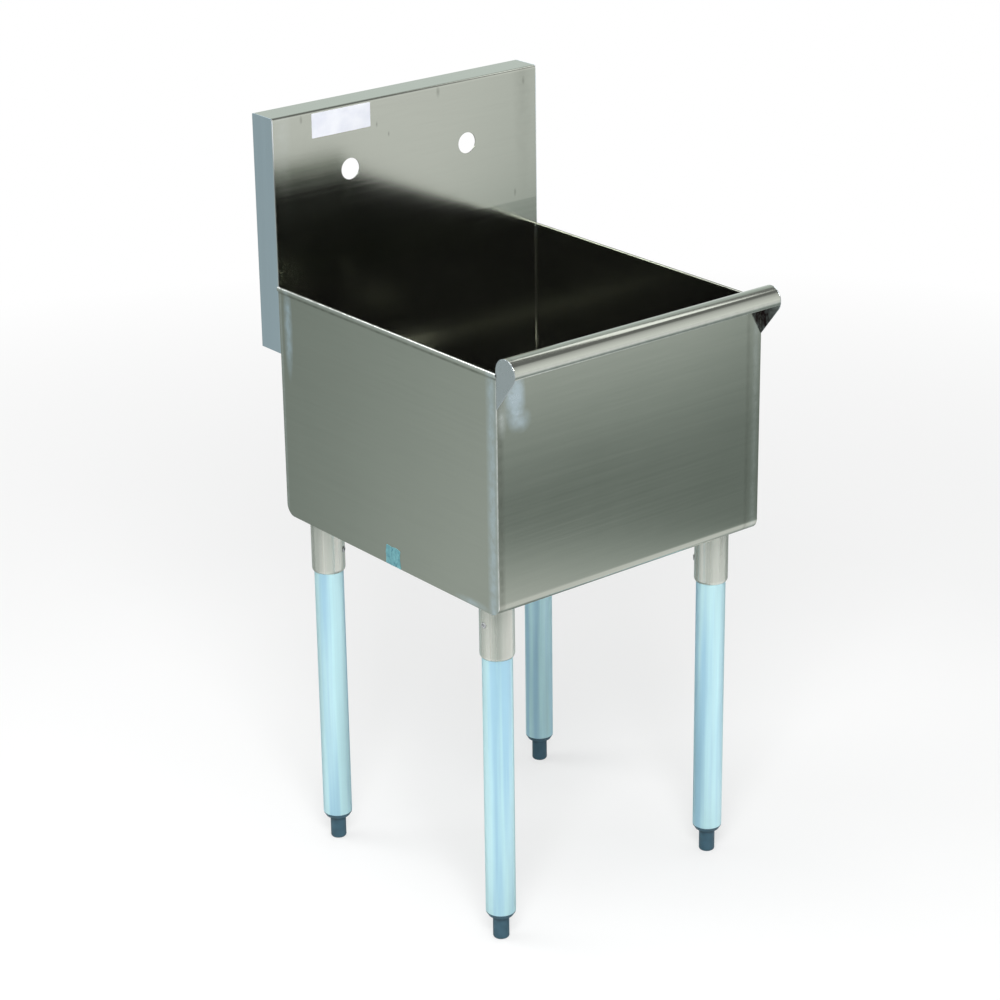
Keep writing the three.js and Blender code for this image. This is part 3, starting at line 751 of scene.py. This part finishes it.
def corner_cove(hand, side):
    """The polished weld that rounds off the corner between a side and the folded sheet."""
    inner = FLOOR_BEND - SHEET
    front = FRONT_Y + SHEET
    bend_z = UNDER_Z + FLOOR_BEND
    top = RIM_Z - COVE_DROP
    line = [(Vector((front, top)), 0.0)]
    for y, start in ((front + inner, 0), (SPLASH_Y - inner, QUARTER)):
        for i in range(COVE_BEND_STEPS + 1):
            turn = QUARTER * i / COVE_BEND_STEPS + start
            line.append((Vector((y, bend_z)) - inner * unit(turn), turn))
    line.append((Vector((SPLASH_Y, top)), 2 * QUARTER))
    radius = CORNER_COVE
    centre = Vector((radius, radius))
    hollow = (centre - radius * unit(QUARTER * (1 - i / COVE_STEPS)) for i in range(COVE_STEPS + 1))
    cove = [(-SEAM, -SEAM), (radius, -SEAM), *hollow, (-SEAM, radius)]
    across = Vector((-side, 0, 0))
    path = [(Vector((side * INSIDE_X, *at)), across, Vector((0, *unit(turn)))) for at, turn in line]
    piece = swept(f"{hand}_bowl_corner_weld", cove, path)
    dress(piece, *steel_cap)


def backsplash_end_cap(hand, side):
    bend = SPLASH_BEND
    outline = [
        (BACK_Y + SEAM, SPLASH_FOOT_Z),
        (WALL_Y, SPLASH_FOOT_Z),
        *arc((WALL_Y - bend, TOP_Z - bend), bend, 0, QUARTER),
        *arc((SPLASH_Y + bend, TOP_Z - bend), bend, QUARTER, 2 * QUARTER),
        (SPLASH_Y, RIM_Z + SEAM),
        (BACK_Y + SEAM, RIM_Z + SEAM),
    ]
    left, right = folded((INSIDE_X, SPLASH_Y - SHEET), QUARTER, [
        (WALL_Y - SPLASH_Y, 0, 0),
        (0, QUARTER, SHEET),
        (CAP_FLANGE - SHEET, 0, 0),
    ])
    section = [[(side * p.x, p.y - SHEET) for p in face] for face in (left, right)]
    piece = sheet_solid(f"{hand}_end_cap_skin", section, SPLASH_FOOT_Z, TOP_Z, along_z)
    reach = SIDE_X + SHEET
    carve(piece, prism("outline", outline, -reach, reach, along_x), "INTERSECT")
    lip_room = rectangle(-INSIDE_X, INSIDE_X, SPLASH_Y - SHEET, WALL_Y + SHEET)
    carve(piece, prism("room", lip_room, TOP_Z - RETURN_LIP - SEAM, TOP_Z + SHEET, along_z))
    dress(piece, *steel_cap, f"{hand}_backsplash_end_cap", edge=GROUND_EDGE / 2, steps=3)


def roll_end_cap(hand, side):
    """The teardrop plate on one end of the roll, ground smooth into it."""
    tip = Vector((FRONT_Y - SEAM, RIM_Z - ROLL_CAP_DROP))
    to_centre = Vector((ROLL_Y, ROLL_Z)) - tip
    slope = math.atan2(to_centre.y, to_centre.x)
    tangent = slope + math.asin(ROLL_RADIUS / to_centre.length) + QUARTER
    outline = [
        tip,
        (FRONT_Y - SEAM, RIM_Z),
        (FRONT_Y + SHEET, RIM_Z),
        *arc((ROLL_Y, ROLL_Z), ROLL_RADIUS, 0, tangent),
    ]
    ends = sorted((side * (INSIDE_X - SEAM), side * SIDE_X))
    piece = prism(f"{hand}_roll_cap_skin", outline, *ends, along_x)
    dress(piece, *steel_cap, f"{hand}_roll_end_cap", edge=GROUND_EDGE, steps=4)


folded_sheet()
for hand, side in SIDES:
    side_panel(hand, side)
    corner_cove(hand, side)
    backsplash_end_cap(hand, side)
    roll_end_cap(hand, side)

# ---- legs

SOCKET_WALL = 2.6 * MM
SOCKET_ROOF = 2.5 * MM
SOCKET_LIP = 6 * MM
TUBE_WALL = 1.5 * MM
TUBE_EDGE = 0.4 * MM
SCREW_RADIUS = 4 * MM
SCREW_PLAY = 0.3 * MM
SCREW_DEPTH = 2 * MM
SCREW_KEY = 4 * MM
SCREW_BEVEL = 0.6 * MM
SCREW_EDGE = 0.15 * MM
SCREW_PROUD = 1.4 * MM
SCREW_LENGTH = 4.2 * MM
FIT = 0.2 * MM
INSERT_LIP = 1.2 * MM
INSERT_TAPER = 3.45 * MM
INSERT_CONE = 5.3 * MM
INSERT_EDGE = 0.35 * MM
PLUG_BEVEL = 1.5 * MM
FOOT_EDGE = 3 * MM
FOOT_BEVEL = 1.2 * MM
STUD_RADIUS = 8 * MM
STUD_PITCH = 2.3 * MM
STUD_THREAD = 0.9 * MM
THREAD_START = 1.5 * MM
THREAD_END = 2 * MM
PLATE_CORNER = 20 * MM
PLATE_EDGE = 3 * MM
WELD_SIZE = 3 * MM
WELD_SINK = 0.3 * MM
WELD_FOOT = 0.1 * MM
WELD_RIPPLES = 90
RIPPLE_STEPS = 3
WELD_SWELL = 0.07


def middle(node):
    low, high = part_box(node)
    return (low + high) / 2


def radius_of(node):
    low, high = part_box(node)
    return (high.x - low.x) / 2


def measured(node):
    return *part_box(node), radius_of(node)


def ring(bore, node, edge):
    """A ring's section, with the radius and heights of a node."""
    low, high, outer = measured(node)
    return rounded(rectangle(bore, outer, low.z, high.z), edge)


def thread(radius, low, high, pitch, depth):
    """A screw thread between two heights: its outline points, and the widen() that winds it up."""
    count = math.ceil((high - low) / (pitch / THREAD_STEPS))
    points = [(radius, low + (high - low) * i / count) for i in range(count + 1)]

    def widen(reach, height, turn):
        if not low <= height <= high:
            return reach
        phase = (height / pitch - turn / FULL) % 1
        return reach - depth * abs(2 * phase - 1)

    return points, widen


def leg_plate(leg, side, front):
    node = f"{leg}_leg_plate"
    low, high, half = measured(node)
    x, y = middle(node).xy
    corner = half - PLATE_CORNER
    corners = [(half, half), (-half, half), (-half, -corner), (-corner, -half), (half, -half)]
    outline = rounded([(x + side * a, y + front * b) for a, b in corners], PLATE_EDGE)
    piece = prism(f"{leg}_plate", outline, low.z, high.z, along_z)
    dress(piece, *satin, node, edge=CUT_EDGE)


def towards_screw(leg, centre):
    """Takes a shape that lies along +X from the origin to a leg's set screw."""
    screw = middle(f"{leg}_socket_screw")
    facing = math.atan2(screw.y - centre.y, screw.x - centre.x)
    return Matrix.Translation((*centre, screw.z)) @ Matrix.Rotation(facing, 4, "Z")


def leg_socket(leg, centre):
    """A cup for the leg tube, with its edge curled in and a set screw through its wall."""
    low, high, radius = measured(f"{leg}_leg_socket")
    bore = radius - SOCKET_WALL
    curl = math.acos(1 - SOCKET_WALL / SOCKET_LIP)
    curl_z = low.z + SOCKET_LIP * math.sin(curl)
    outline = [
        (0, high.z),
        (0, high.z - SOCKET_ROOF),
        (bore, high.z - SOCKET_ROOF),
        *arc((radius - SOCKET_LIP, curl_z), SOCKET_LIP, -curl, 0),
        (radius, high.z),
    ]
    piece = turned(f"{leg}_socket", outline, centre)
    round_hole = circle((0, 0), SCREW_RADIUS + SCREW_PLAY, SCREW_STEPS)
    hole = prism("hole", round_hole, bore - SOCKET_WALL, radius + SOCKET_WALL, along_x)
    hole.data.transform(towards_screw(leg, centre))
    carve(piece, hole)
    dress(piece, *satin, f"{leg}_leg_socket")


def socket_weld(leg, centre):
    """The bead round the top of a socket, with the ripples of a hand-made weld."""
    _, high, radius = measured(f"{leg}_leg_socket")
    path = []
    steps = WELD_RIPPLES * RIPPLE_STEPS
    for i in range(steps):
        turn = FULL * i / steps
        swell = 1 + WELD_SWELL * math.cos(FULL * i / RIPPLE_STEPS)
        out = Vector((*unit(turn), 0))
        origin = Vector((*centre, high.z)) + (radius - WELD_SINK) * out
        path.append((origin, out * swell, Vector((0, 0, -swell))))
    quarter = arc((0, 0), WELD_SIZE, 0, QUARTER)[1:]
    bead = [(0, -WELD_FOOT), (WELD_SIZE, -WELD_FOOT), *quarter]
    piece = swept(f"{leg}_socket_weld", bead, path, closed=True)
    dress(piece, *satin)


def socket_screw(leg, centre):
    """A set screw with a hexagon recess."""
    outer = radius_of(f"{leg}_leg_socket") + SCREW_PROUD
    inner = outer - SCREW_LENGTH
    outline = [
        (0, inner),
        (SCREW_RADIUS, inner),
        (SCREW_RADIUS, outer - SCREW_BEVEL),
        (SCREW_RADIUS - SCREW_BEVEL, outer),
        (0, outer),
    ]
    piece = turned(f"{leg}_set_screw", outline, (0, 0), steps=SCREW_STEPS)
    hexagon = circle((0, 0), SCREW_KEY / 2 / math.cos(FULL / 12), 6)
    carve(piece, prism("key", hexagon, outer - SCREW_DEPTH, outer + SCREW_BEVEL, along_z))
    piece.data.transform(towards_screw(leg, centre) @ Matrix.Rotation(QUARTER, 4, "Y"))
    dress(piece, *zinc, f"{leg}_socket_screw", edge=SCREW_EDGE)


def leg_tube(leg, centre):
    node = f"{leg}_leg_tube"
    piece = turned(f"{leg}_tube", ring(radius_of(node) - TUBE_WALL, node, TUBE_EDGE), centre)
    dress(piece, *galvanised, node)


def foot_insert(leg, centre):
    """The plug in the tube's end, with its lip and cone below the tube."""
    low, high, radius = measured(f"{leg}_foot_insert")
    plug = radius_of(f"{leg}_leg_tube") - TUBE_WALL - FIT
    bore = STUD_RADIUS + SCREW_PLAY
    lip_z = low.z + INSERT_CONE
    outline = rounded([
        (bore, low.z),
        (radius + FIT - INSERT_TAPER, low.z),
        (radius, lip_z),
        (radius, lip_z + INSERT_LIP - FIT),
        (plug, lip_z + INSERT_LIP - FIT),
        (plug, high.z - PLUG_BEVEL),
        (plug - PLUG_BEVEL, high.z),
        (bore, high.z),
    ], INSERT_EDGE)
    piece = turned(f"{leg}_insert", outline, centre)
    dress(piece, *slate, f"{leg}_foot_insert")


def bullet_foot(leg):
    """A round foot with its screw. The thread runs from the shoulder up to the screw's end."""
    low, high, radius = measured(f"{leg}_bullet_foot")
    centre = middle(f"{leg}_bullet_foot").xy
    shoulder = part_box(f"{leg}_foot_insert")[0].z - SCREW_PLAY
    start, end = shoulder + THREAD_START, high.z - THREAD_END
    points, widen = thread(STUD_RADIUS, start, end, STUD_PITCH, STUD_THREAD)
    outline = [
        (0, low.z),
        *arc((radius - FOOT_EDGE, low.z + FOOT_EDGE), FOOT_EDGE, -QUARTER, 0),
        (radius, shoulder - FOOT_BEVEL),
        (radius - 0.5 * MM, shoulder - 0.4 * MM),
        (radius - FOOT_BEVEL, shoulder),
        (STUD_RADIUS - STUD_THREAD, shoulder),
        *points,
        (STUD_RADIUS - STUD_THREAD, high.z - 0.5 * MM),
        (STUD_RADIUS - 2 * STUD_THREAD, high.z),
        (0, high.z),
    ]
    piece = turned(f"{leg}_foot", outline, centre, widen, steps=STUD_STEPS)
    dress(piece, *slate, f"{leg}_bullet_foot", body=f"{leg}_foot")


for hand, side in SIDES:
    for end, front in (("front", -1), ("back", 1)):
        leg = f"{end}_{hand}"
        leg_plate(leg, side, front)
        for make in (leg_socket, socket_weld, socket_screw, leg_tube, foot_insert):
            make(leg, middle(f"{leg}_leg_tube").xy)
        bullet_foot(leg)

# ---- basket strainer

DRAIN_WALL = 1.5 * MM
CUP_RADIUS = 43 * MM
CUP_BEND = 3 * MM
FLANGE_EDGE = 0.7 * MM
DRAIN_EASE = 2 * MM
MOUTH_DEPTH = 8 * MM
MOUTH_TURN = 0.9
CUP_DEPTH = 42 * MM
OUTLET_RADIUS = 24.15 * MM
OUTLET_WALL = 4.15 * MM
OUTLET_PITCH = 2.2 * MM
OUTLET_THREAD = 1.1 * MM
NUT_LUGS = 8
LUG_DEPTH = 3 * MM
NUT_ROOF = 3 * MM
NUT_EDGE = 0.4 * MM
SOFT_EDGE = 0.8 * MM
WASHER_EDGE = 0.2 * MM
BASKET_WALL = 1 * MM
BASKET_RADIUS = 36 * MM
BASKET_HOLE = 2.4 * MM
BASKET_RINGS = ((14 * MM, 8), (24 * MM, 14))
BASKET_SLOTS = 18
SLOT_FOOT = 7 * MM
SLOT_HEAD = 6 * MM
SLOT_RADIUS = 1.2 * MM
POST_RADIUS = 3 * MM
AXIS = 0.01 * MM  # as near the axis as an outline with rounded corners comes
KNOB_THICKNESS = 4 * MM
STOPPER_BEVEL = 1.5 * MM
STOPPER_EDGE = 0.7 * MM


def round_drain(share):
    """Takes a shape on the +X side of the origin to a share of the way round the drain."""
    return Matrix.Translation((*DRAIN, 0)) @ Matrix.Rotation(FULL * share, 4, "Z")


def strainer_body():
    top = body_high.z
    under = top - CUP_DEPTH
    inner_floor = under + DRAIN_WALL
    flange = radius_of("strainer_body")
    bore = CUP_RADIUS - DRAIN_WALL
    outlet = OUTLET_RADIUS - OUTLET_WALL
    start, end = body_low.z + THREAD_START, under - THREAD_END
    points, widen = thread(OUTLET_RADIUS, start, end, OUTLET_PITCH, OUTLET_THREAD)
    outline = [
        (outlet, body_low.z),
        (OUTLET_RADIUS - OUTLET_THREAD, body_low.z),
        *points,
        (OUTLET_RADIUS, under),
        *arc((CUP_RADIUS - CUP_BEND, under + CUP_BEND), CUP_BEND, -QUARTER, 0),
        (CUP_RADIUS, top - DRAIN_WALL),
        (flange, top - DRAIN_WALL),
        *arc((flange - FLANGE_EDGE, top - FLANGE_EDGE), FLANGE_EDGE, 0, QUARTER),
        *arc((CUP_RADIUS + DRAIN_EASE, top - DRAIN_EASE), DRAIN_EASE, QUARTER, QUARTER + MOUTH_TURN),
        (bore, top - MOUTH_DEPTH),
        (bore, inner_floor + DRAIN_EASE),
        *arc((bore - DRAIN_EASE, inner_floor + DRAIN_EASE), DRAIN_EASE, 0, -QUARTER),
        (outlet, inner_floor),
    ]
    piece = turned("strainer_cup", outline, DRAIN, widen, CUP_STEPS)
    dress(piece, *satin, "strainer_body")


def flat_ring(name, node, edge, filling):
    piece = turned(name, ring(CUP_RADIUS + FIT, node, edge), DRAIN, steps=CUP_STEPS)
    dress(piece, *filling, node)


def strainer_locknut():
    low, high, outer = measured("strainer_locknut")
    outline = ring(CUP_RADIUS + 2 * FIT, "strainer_locknut", SOFT_EDGE)
    piece = turned("strainer_nut", outline, DRAIN, steps=CUP_STEPS)
    half = outer * math.sin(FULL / NUT_LUGS / 4)
    notch = rectangle(outer - LUG_DEPTH, outer + LUG_DEPTH, -half, half)
    slots = []
    for i in range(NUT_LUGS):
        slot = prism("slot", notch, low.z - 1 * MM, high.z - NUT_ROOF, along_z)
        slot.data.transform(round_drain(i / NUT_LUGS))
        slots.append(slot)
    carve(piece, joined(slots))
    dress(piece, *zinc, "strainer_locknut", edge=NUT_EDGE)


def basket_cup():
    """The lift-out crumb cup, with round holes in its floor and a row of slots in its wall."""
    low, high, rim = measured("basket_cup")
    bore = POST_RADIUS + FIT
    wall = BASKET_WALL
    bend = 3 * MM
    outline = [
        (bore, low.z),
        *arc((BASKET_RADIUS - bend, low.z + bend), bend, -QUARTER, 0),
        *arc((BASKET_RADIUS + wall, high.z - 2 * wall), wall, 2 * QUARTER, QUARTER),
        (rim - wall / 2, high.z - wall),
        *arc((rim - wall / 2, high.z - wall / 2), wall / 2, -QUARTER, QUARTER)[1:],
        *arc((BASKET_RADIUS + wall, high.z - 2 * wall), 2 * wall, QUARTER, 2 * QUARTER),
        *arc((BASKET_RADIUS - bend, low.z + bend), bend - wall, 0, -QUARTER),
        (bore, low.z + wall),
    ]
    piece = turned("crumb_cup", outline, DRAIN, steps=CUP_STEPS)
    cutters = []
    for radius, count in BASKET_RINGS:
        for i in range(count):
            hole = circle(DRAIN + radius * unit(FULL * i / count), BASKET_HOLE, HOLE_STEPS)
            cutters.append(prism("hole", hole, low.z - wall, low.z + 2 * wall, along_z))
    for i in range(BASKET_SLOTS):
        ends = [
            *arc((0, high.z - SLOT_HEAD), SLOT_RADIUS, 0, 2 * QUARTER),
            *arc((0, low.z + SLOT_FOOT), SLOT_RADIUS, 2 * QUARTER, FULL),
        ]
        slot = prism("slot", ends, BASKET_RADIUS - 3 * wall, BASKET_RADIUS + 2 * wall, along_x)
        slot.data.transform(round_drain(i / BASKET_SLOTS))
        cutters.append(slot)
    carve(piece, joined(cutters))
    dress(piece, *satin, "basket_cup", body="crumb_basket")


def basket_post():
    low, high, knob = measured("basket_post")
    neck = high.z - KNOB_THICKNESS
    outline = rounded([
        (AXIS, low.z),
        (POST_RADIUS, low.z),
        (POST_RADIUS, neck),
        (knob, neck + 0.5 * MM),
        (knob, high.z - 1 * MM),
        (knob - 2 * MM, high.z),
        (AXIS, high.z),
    ], SOFT_EDGE)
    piece = turned("basket_knob", outline, DRAIN, steps=STUD_STEPS)
    dress(piece, *satin, "basket_post", body="crumb_basket")


def basket_stopper():
    low, high, radius = measured("basket_stopper")
    outline = rounded([
        (AXIS, low.z),
        (radius - STOPPER_BEVEL, low.z),
        (radius, low.z + STOPPER_BEVEL),
        (radius, high.z),
        (AXIS, high.z),
    ], STOPPER_EDGE)
    piece = turned("basket_seal", outline, DRAIN)
    dress(piece, *rubber, "basket_stopper", body="crumb_basket")


strainer_body()
flat_ring("strainer_seal", "strainer_gasket", SOFT_EDGE, rubber)
flat_ring("strainer_fibre_ring", "strainer_friction_washer", WASHER_EDGE, fibre)
strainer_locknut()
basket_cup()
basket_post()
basket_stopper()

# ---- sticker and film


def sticker():
    low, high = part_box("blank_sticker")
    corners = rectangle(low.x, high.x, low.z, high.z)
    piece = prism("sticker", rounded(corners, 1.5 * MM), low.y, SPLASH_Y + SEAM, along_y)
    dress(piece, *sticker_finish(), "blank_sticker", edge=0.05 * MM)


# The scrap's torn corners, as shares of its width and height.
TORN_CORNERS = (
    (0, 0), (0.3, 0.02), (0.62, 0), (1, 0.03), (0.97, 0.35), (1, 0.6),
    (0.94, 1), (0.6, 0.96), (0.35, 1), (0.04, 0.93), (0.08, 0.5),
)


def film():
    """A torn scrap of shipping film, with a ragged outline."""
    low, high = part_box("shipping_film_scrap")
    size = high - low
    corners = [(low.y + a * size.y, low.z + b * size.z) for a, b in TORN_CORNERS]
    piece = prism("film_scrap", rounded(corners, 1 * MM), low.x, -SIDE_X + SEAM, along_x)
    dress(piece, *film_finish(), "shipping_film_scrap")


sticker()
film()

# ---- floor, light and camera

WHITE = (1.0, 1.0, 1.0, 1.0)
FLOOR_REACH = 60.0
FLOOR_PALE = (0.85, 0.85, 0.85, 1.0)
FLOOR_PALER = (0.87, 0.87, 0.87, 1.0)

# The floor keeps the sink's shadow, and turns white between these distances from the sink.
SWEEP = (1.2, 2.8)
WHITE_START = 0.58

# The floor's level in reflections, painted into its glow. It is white near the sink, but for a
# painted shadow under and behind the sink and a painted grey patch at the front left, in place of a
# card.
# Round that lies a painted ring of darker and slightly green floor.
MIRROR_DIM = 0.28
MIRROR_TINT = (0.83, 1.0, 0.93, 1.0)
NEAR_RING = (1.1, 1.6)
SHADOW_LEVEL = 0.45
SHADOW_EDGE = (0.25, 0.4)
BEHIND_EDGE = (-0.1, -0.5)
FRONT_LEFT = (-0.62, -0.78, 0.0)
DARK_PATCH_EDGE = (0.8, 0.97)
DARK_PATCH_LEVEL = 0.7

# Further out it brightens again, less so beyond a diagonal: a place's distance to the back, in
# shares of its distance to the side.
FAR_RING = (1.5, 2.6)
DIAGONAL = (-1.18, -0.95)
DIAGONAL_LEVEL = 0.74
SIDE_DIAGONAL = (-0.9, -0.6)

# The half behind the sink is an even grey, brighter to the sides than straight behind.
BACK_HALF = (0.0, 0.6)
BACK_DIAGONAL = (0.8, 1.4)
BACK_LEVELS = (0.61, 0.37)
DISTANT = (4.0, 8.0)

# What stands around the sink, by the parts of the direction towards it: a pale horizon, a white
# backdrop low behind, walls on the right that darken with their height, and a dark ceiling.
HORIZON_EDGE = (0.12, 0.02)
HORIZON_LEVEL = 1.0
BACK_EDGE = (0.2, 0.5)
BACKDROP_TOP = 0.34
BACKDROP_FADE = 0.1
BACKDROP_LEVEL = 0.85
BACKDROP_TINT = (0.92, 1.0, 0.97, 1.0)
CEILING_LEVEL = 0.08
RIGHT_EDGE = (0.2, 0.45)
WALL_LEVEL = 0.24
WALL_TOP = 0.66
WALL_FADE = 0.36
BACK_WALL_EDGE = (0.15, 0.5)
BACK_WALL_LEVEL = 0.7
FRONT_RIGHT = (0.59, -0.81, 0.0)
FRONT_EDGE = (0.3, 0.5)
FRONT_LEVEL = 1.2


def mirrored_floor(finish, distance):
    """The floor's level in reflections."""
    towards = finish.vector("DOT_PRODUCT", finish.vector("NORMALIZE", finish.place), FRONT_LEFT)
    level = finish.remap(distance, *NEAR_RING, 1.0, MIRROR_DIM)
    shades = (
        finish.remap(distance, *SHADOW_EDGE, SHADOW_LEVEL, 1.0),
        finish.remap(towards, *DARK_PATCH_EDGE, 1.0, DARK_PATCH_LEVEL),
        finish.remap(towards, *BEHIND_EDGE, 1.0, SHADOW_LEVEL),
    )
    for shade_level in shades:
        level = finish.times(level, shade_level)
    back = finish.parts(finish.place)["Y"]
    away = finish.parts(finish.vector("ABSOLUTE", finish.place))
    diagonal = finish.maths("DIVIDE", back, away["X"])
    in_front = finish.remap(away["Y"], *FAR_RING, MIRROR_DIM, 1.0)
    in_front = finish.times(in_front, finish.remap(diagonal, *DIAGONAL, 1.0, DIAGONAL_LEVEL))
    sideways = finish.remap(away["X"], *FAR_RING, MIRROR_DIM, 1.0)
    sideways = finish.times(sideways, finish.remap(diagonal, *SIDE_DIAGONAL))
    level = finish.larger(level, finish.larger(in_front, sideways))
    behind = finish.remap(diagonal, *BACK_DIAGONAL, *BACK_LEVELS)
    level = finish.node("Mix", {0: finish.remap(back, *BACK_HALF), 2: level, 3: behind}).outputs[0]
    return finish.larger(level, finish.remap(distance, *DISTANT, 0.0, HORIZON_LEVEL))


def floor():
    mesh = bpy.data.meshes.new("floor")
    ground = placed("floor", mesh)
    corners = rectangle(-FLOOR_REACH, FLOOR_REACH, -FLOOR_REACH, FLOOR_REACH)
    mesh.from_pydata([(x, y, 0) for x, y in corners], [], [(0, 1, 2, 3)])
    finish = Finish("floor", FLOOR_PALE, 0.9, metallic=0.0)
    finish.set("Base Color", finish.mix(finish.noise(3, detail=2), FLOOR_PALE, FLOOR_PALER))
    path = finish.node("LightPath").outputs
    distance = finish.vector("LENGTH", finish.place)
    white = finish.times(path["Is Camera Ray"], finish.remap(distance, *SWEEP, WHITE_START))
    mirrored = finish.larger(path["Is Glossy Ray"], path["Is Transmission Ray"])
    share = finish.larger(white, mirrored)
    level = finish.larger(mirrored_floor(finish, distance), path["Is Camera Ray"])
    tint = finish.mix(level, MIRROR_TINT, WHITE)
    glow = finish.node("Emission", {"Color": tint, "Strength": level}).outputs[0]
    both = finish.node("MixShader", {0: share, 1: finish.shader.outputs[0], 2: glow}).outputs[0]
    finish.feed(finish.tree.nodes["Material Output"].inputs["Surface"], both)
    mesh.materials.append(finish.material)


def world():
    sky = bpy.data.worlds.new("studio")
    bpy.context.scene.world = sky
    sky.use_nodes = True
    graph = Graph(sky.node_tree)
    way = graph.node("TexCoord").outputs["Generated"]
    x, y, z = graph.parts(way)
    on_right = graph.remap(x, *RIGHT_EDGE)
    back_wall = graph.remap(y, *BACK_WALL_EDGE, 0.0, BACK_WALL_LEVEL)
    walls = graph.larger(WALL_LEVEL, back_wall)
    height = graph.maths("POWER", graph.remap(z, WALL_TOP, 0.0), WALL_FADE)
    ahead = graph.vector("DOT_PRODUCT", way, FRONT_RIGHT)
    front = graph.remap(height, 0.0, 1.0, WALL_LEVEL, FRONT_LEVEL)
    front = graph.times(graph.remap(ahead, *FRONT_EDGE), front)
    behind = graph.remap(y, *BACK_EDGE)
    low_down = graph.remap(z, BACKDROP_TOP + BACKDROP_FADE, BACKDROP_TOP, 0.0, BACKDROP_LEVEL)
    backdrop = graph.times(behind, low_down)
    horizon = graph.remap(z, *HORIZON_EDGE, 0.0, HORIZON_LEVEL)
    level = graph.times(on_right, graph.larger(walls, front))
    for other in (backdrop, horizon, CEILING_LEVEL):
        level = graph.larger(level, other)
    seen = graph.node("LightPath").outputs["Is Camera Ray"]
    level = graph.larger(level, seen)
    background = graph.tree.nodes["Background"]
    graph.feed(background.inputs["Strength"], level)
    tinted = graph.times(behind, graph.maths("SUBTRACT", 1.0, seen))
    graph.feed(background.inputs["Color"], graph.mix(tinted, WHITE, BACKDROP_TINT))


SINK_MIDDLE = (0, 0, 0.6)
ABOVE_ROLL = (0, -0.26, 0.87)

# name, place, size, watts and what it points at. The line draws the white line along the roll.
SOFTBOXES = (
    ("key", (-1.5, -1.9, 2.5), (1.4, 1.0), 85, (-0.2, -0.3, 0.3)),
    ("line", (2.23, 0.2, 3.6), (1.6, 0.4), 3, ABOVE_ROLL),
    ("left", (-1.5, 1.8, 2.7), (1.4, 1.0), 25, SINK_MIDDLE),
    ("top", (-0.4, -0.2, 3.6), (2.0, 2.0), 55, SINK_MIDDLE),
)


def softbox(name, place, size, power, aim):
    lamp = bpy.data.lights.new(name, "AREA")
    lamp.shape = "RECTANGLE"
    lamp.size, lamp.size_y = size
    lamp.energy = power
    light = placed(name, lamp)
    light.location = place
    light.rotation_mode = "QUATERNION"
    light.rotation_quaternion = (Vector(aim) - Vector(place)).to_track_quat("-Z", "Y")
    light.visible_camera = False


def camera():
    lens = bpy.data.cameras.new("camera")
    lens.lens = CAMERA_LENS
    lens.sensor_width = SENSOR_WIDTH
    view = placed("camera", lens)
    turn = Matrix.Rotation(-CAMERA_AZIMUTH, 4, "Z")
    turn @= Matrix.Rotation(QUARTER - CAMERA_ELEVATION, 4, "X")
    turn @= Matrix.Rotation(CAMERA_ROLL, 4, "Z")
    view.matrix_world = Matrix.Translation(CAMERA_PLACE) @ turn
    bpy.context.scene.camera = view


floor()
world()
for lamp in SOFTBOXES:
    softbox(*lamp)
camera()
bpy.context.scene.view_settings.view_transform = "Standard"
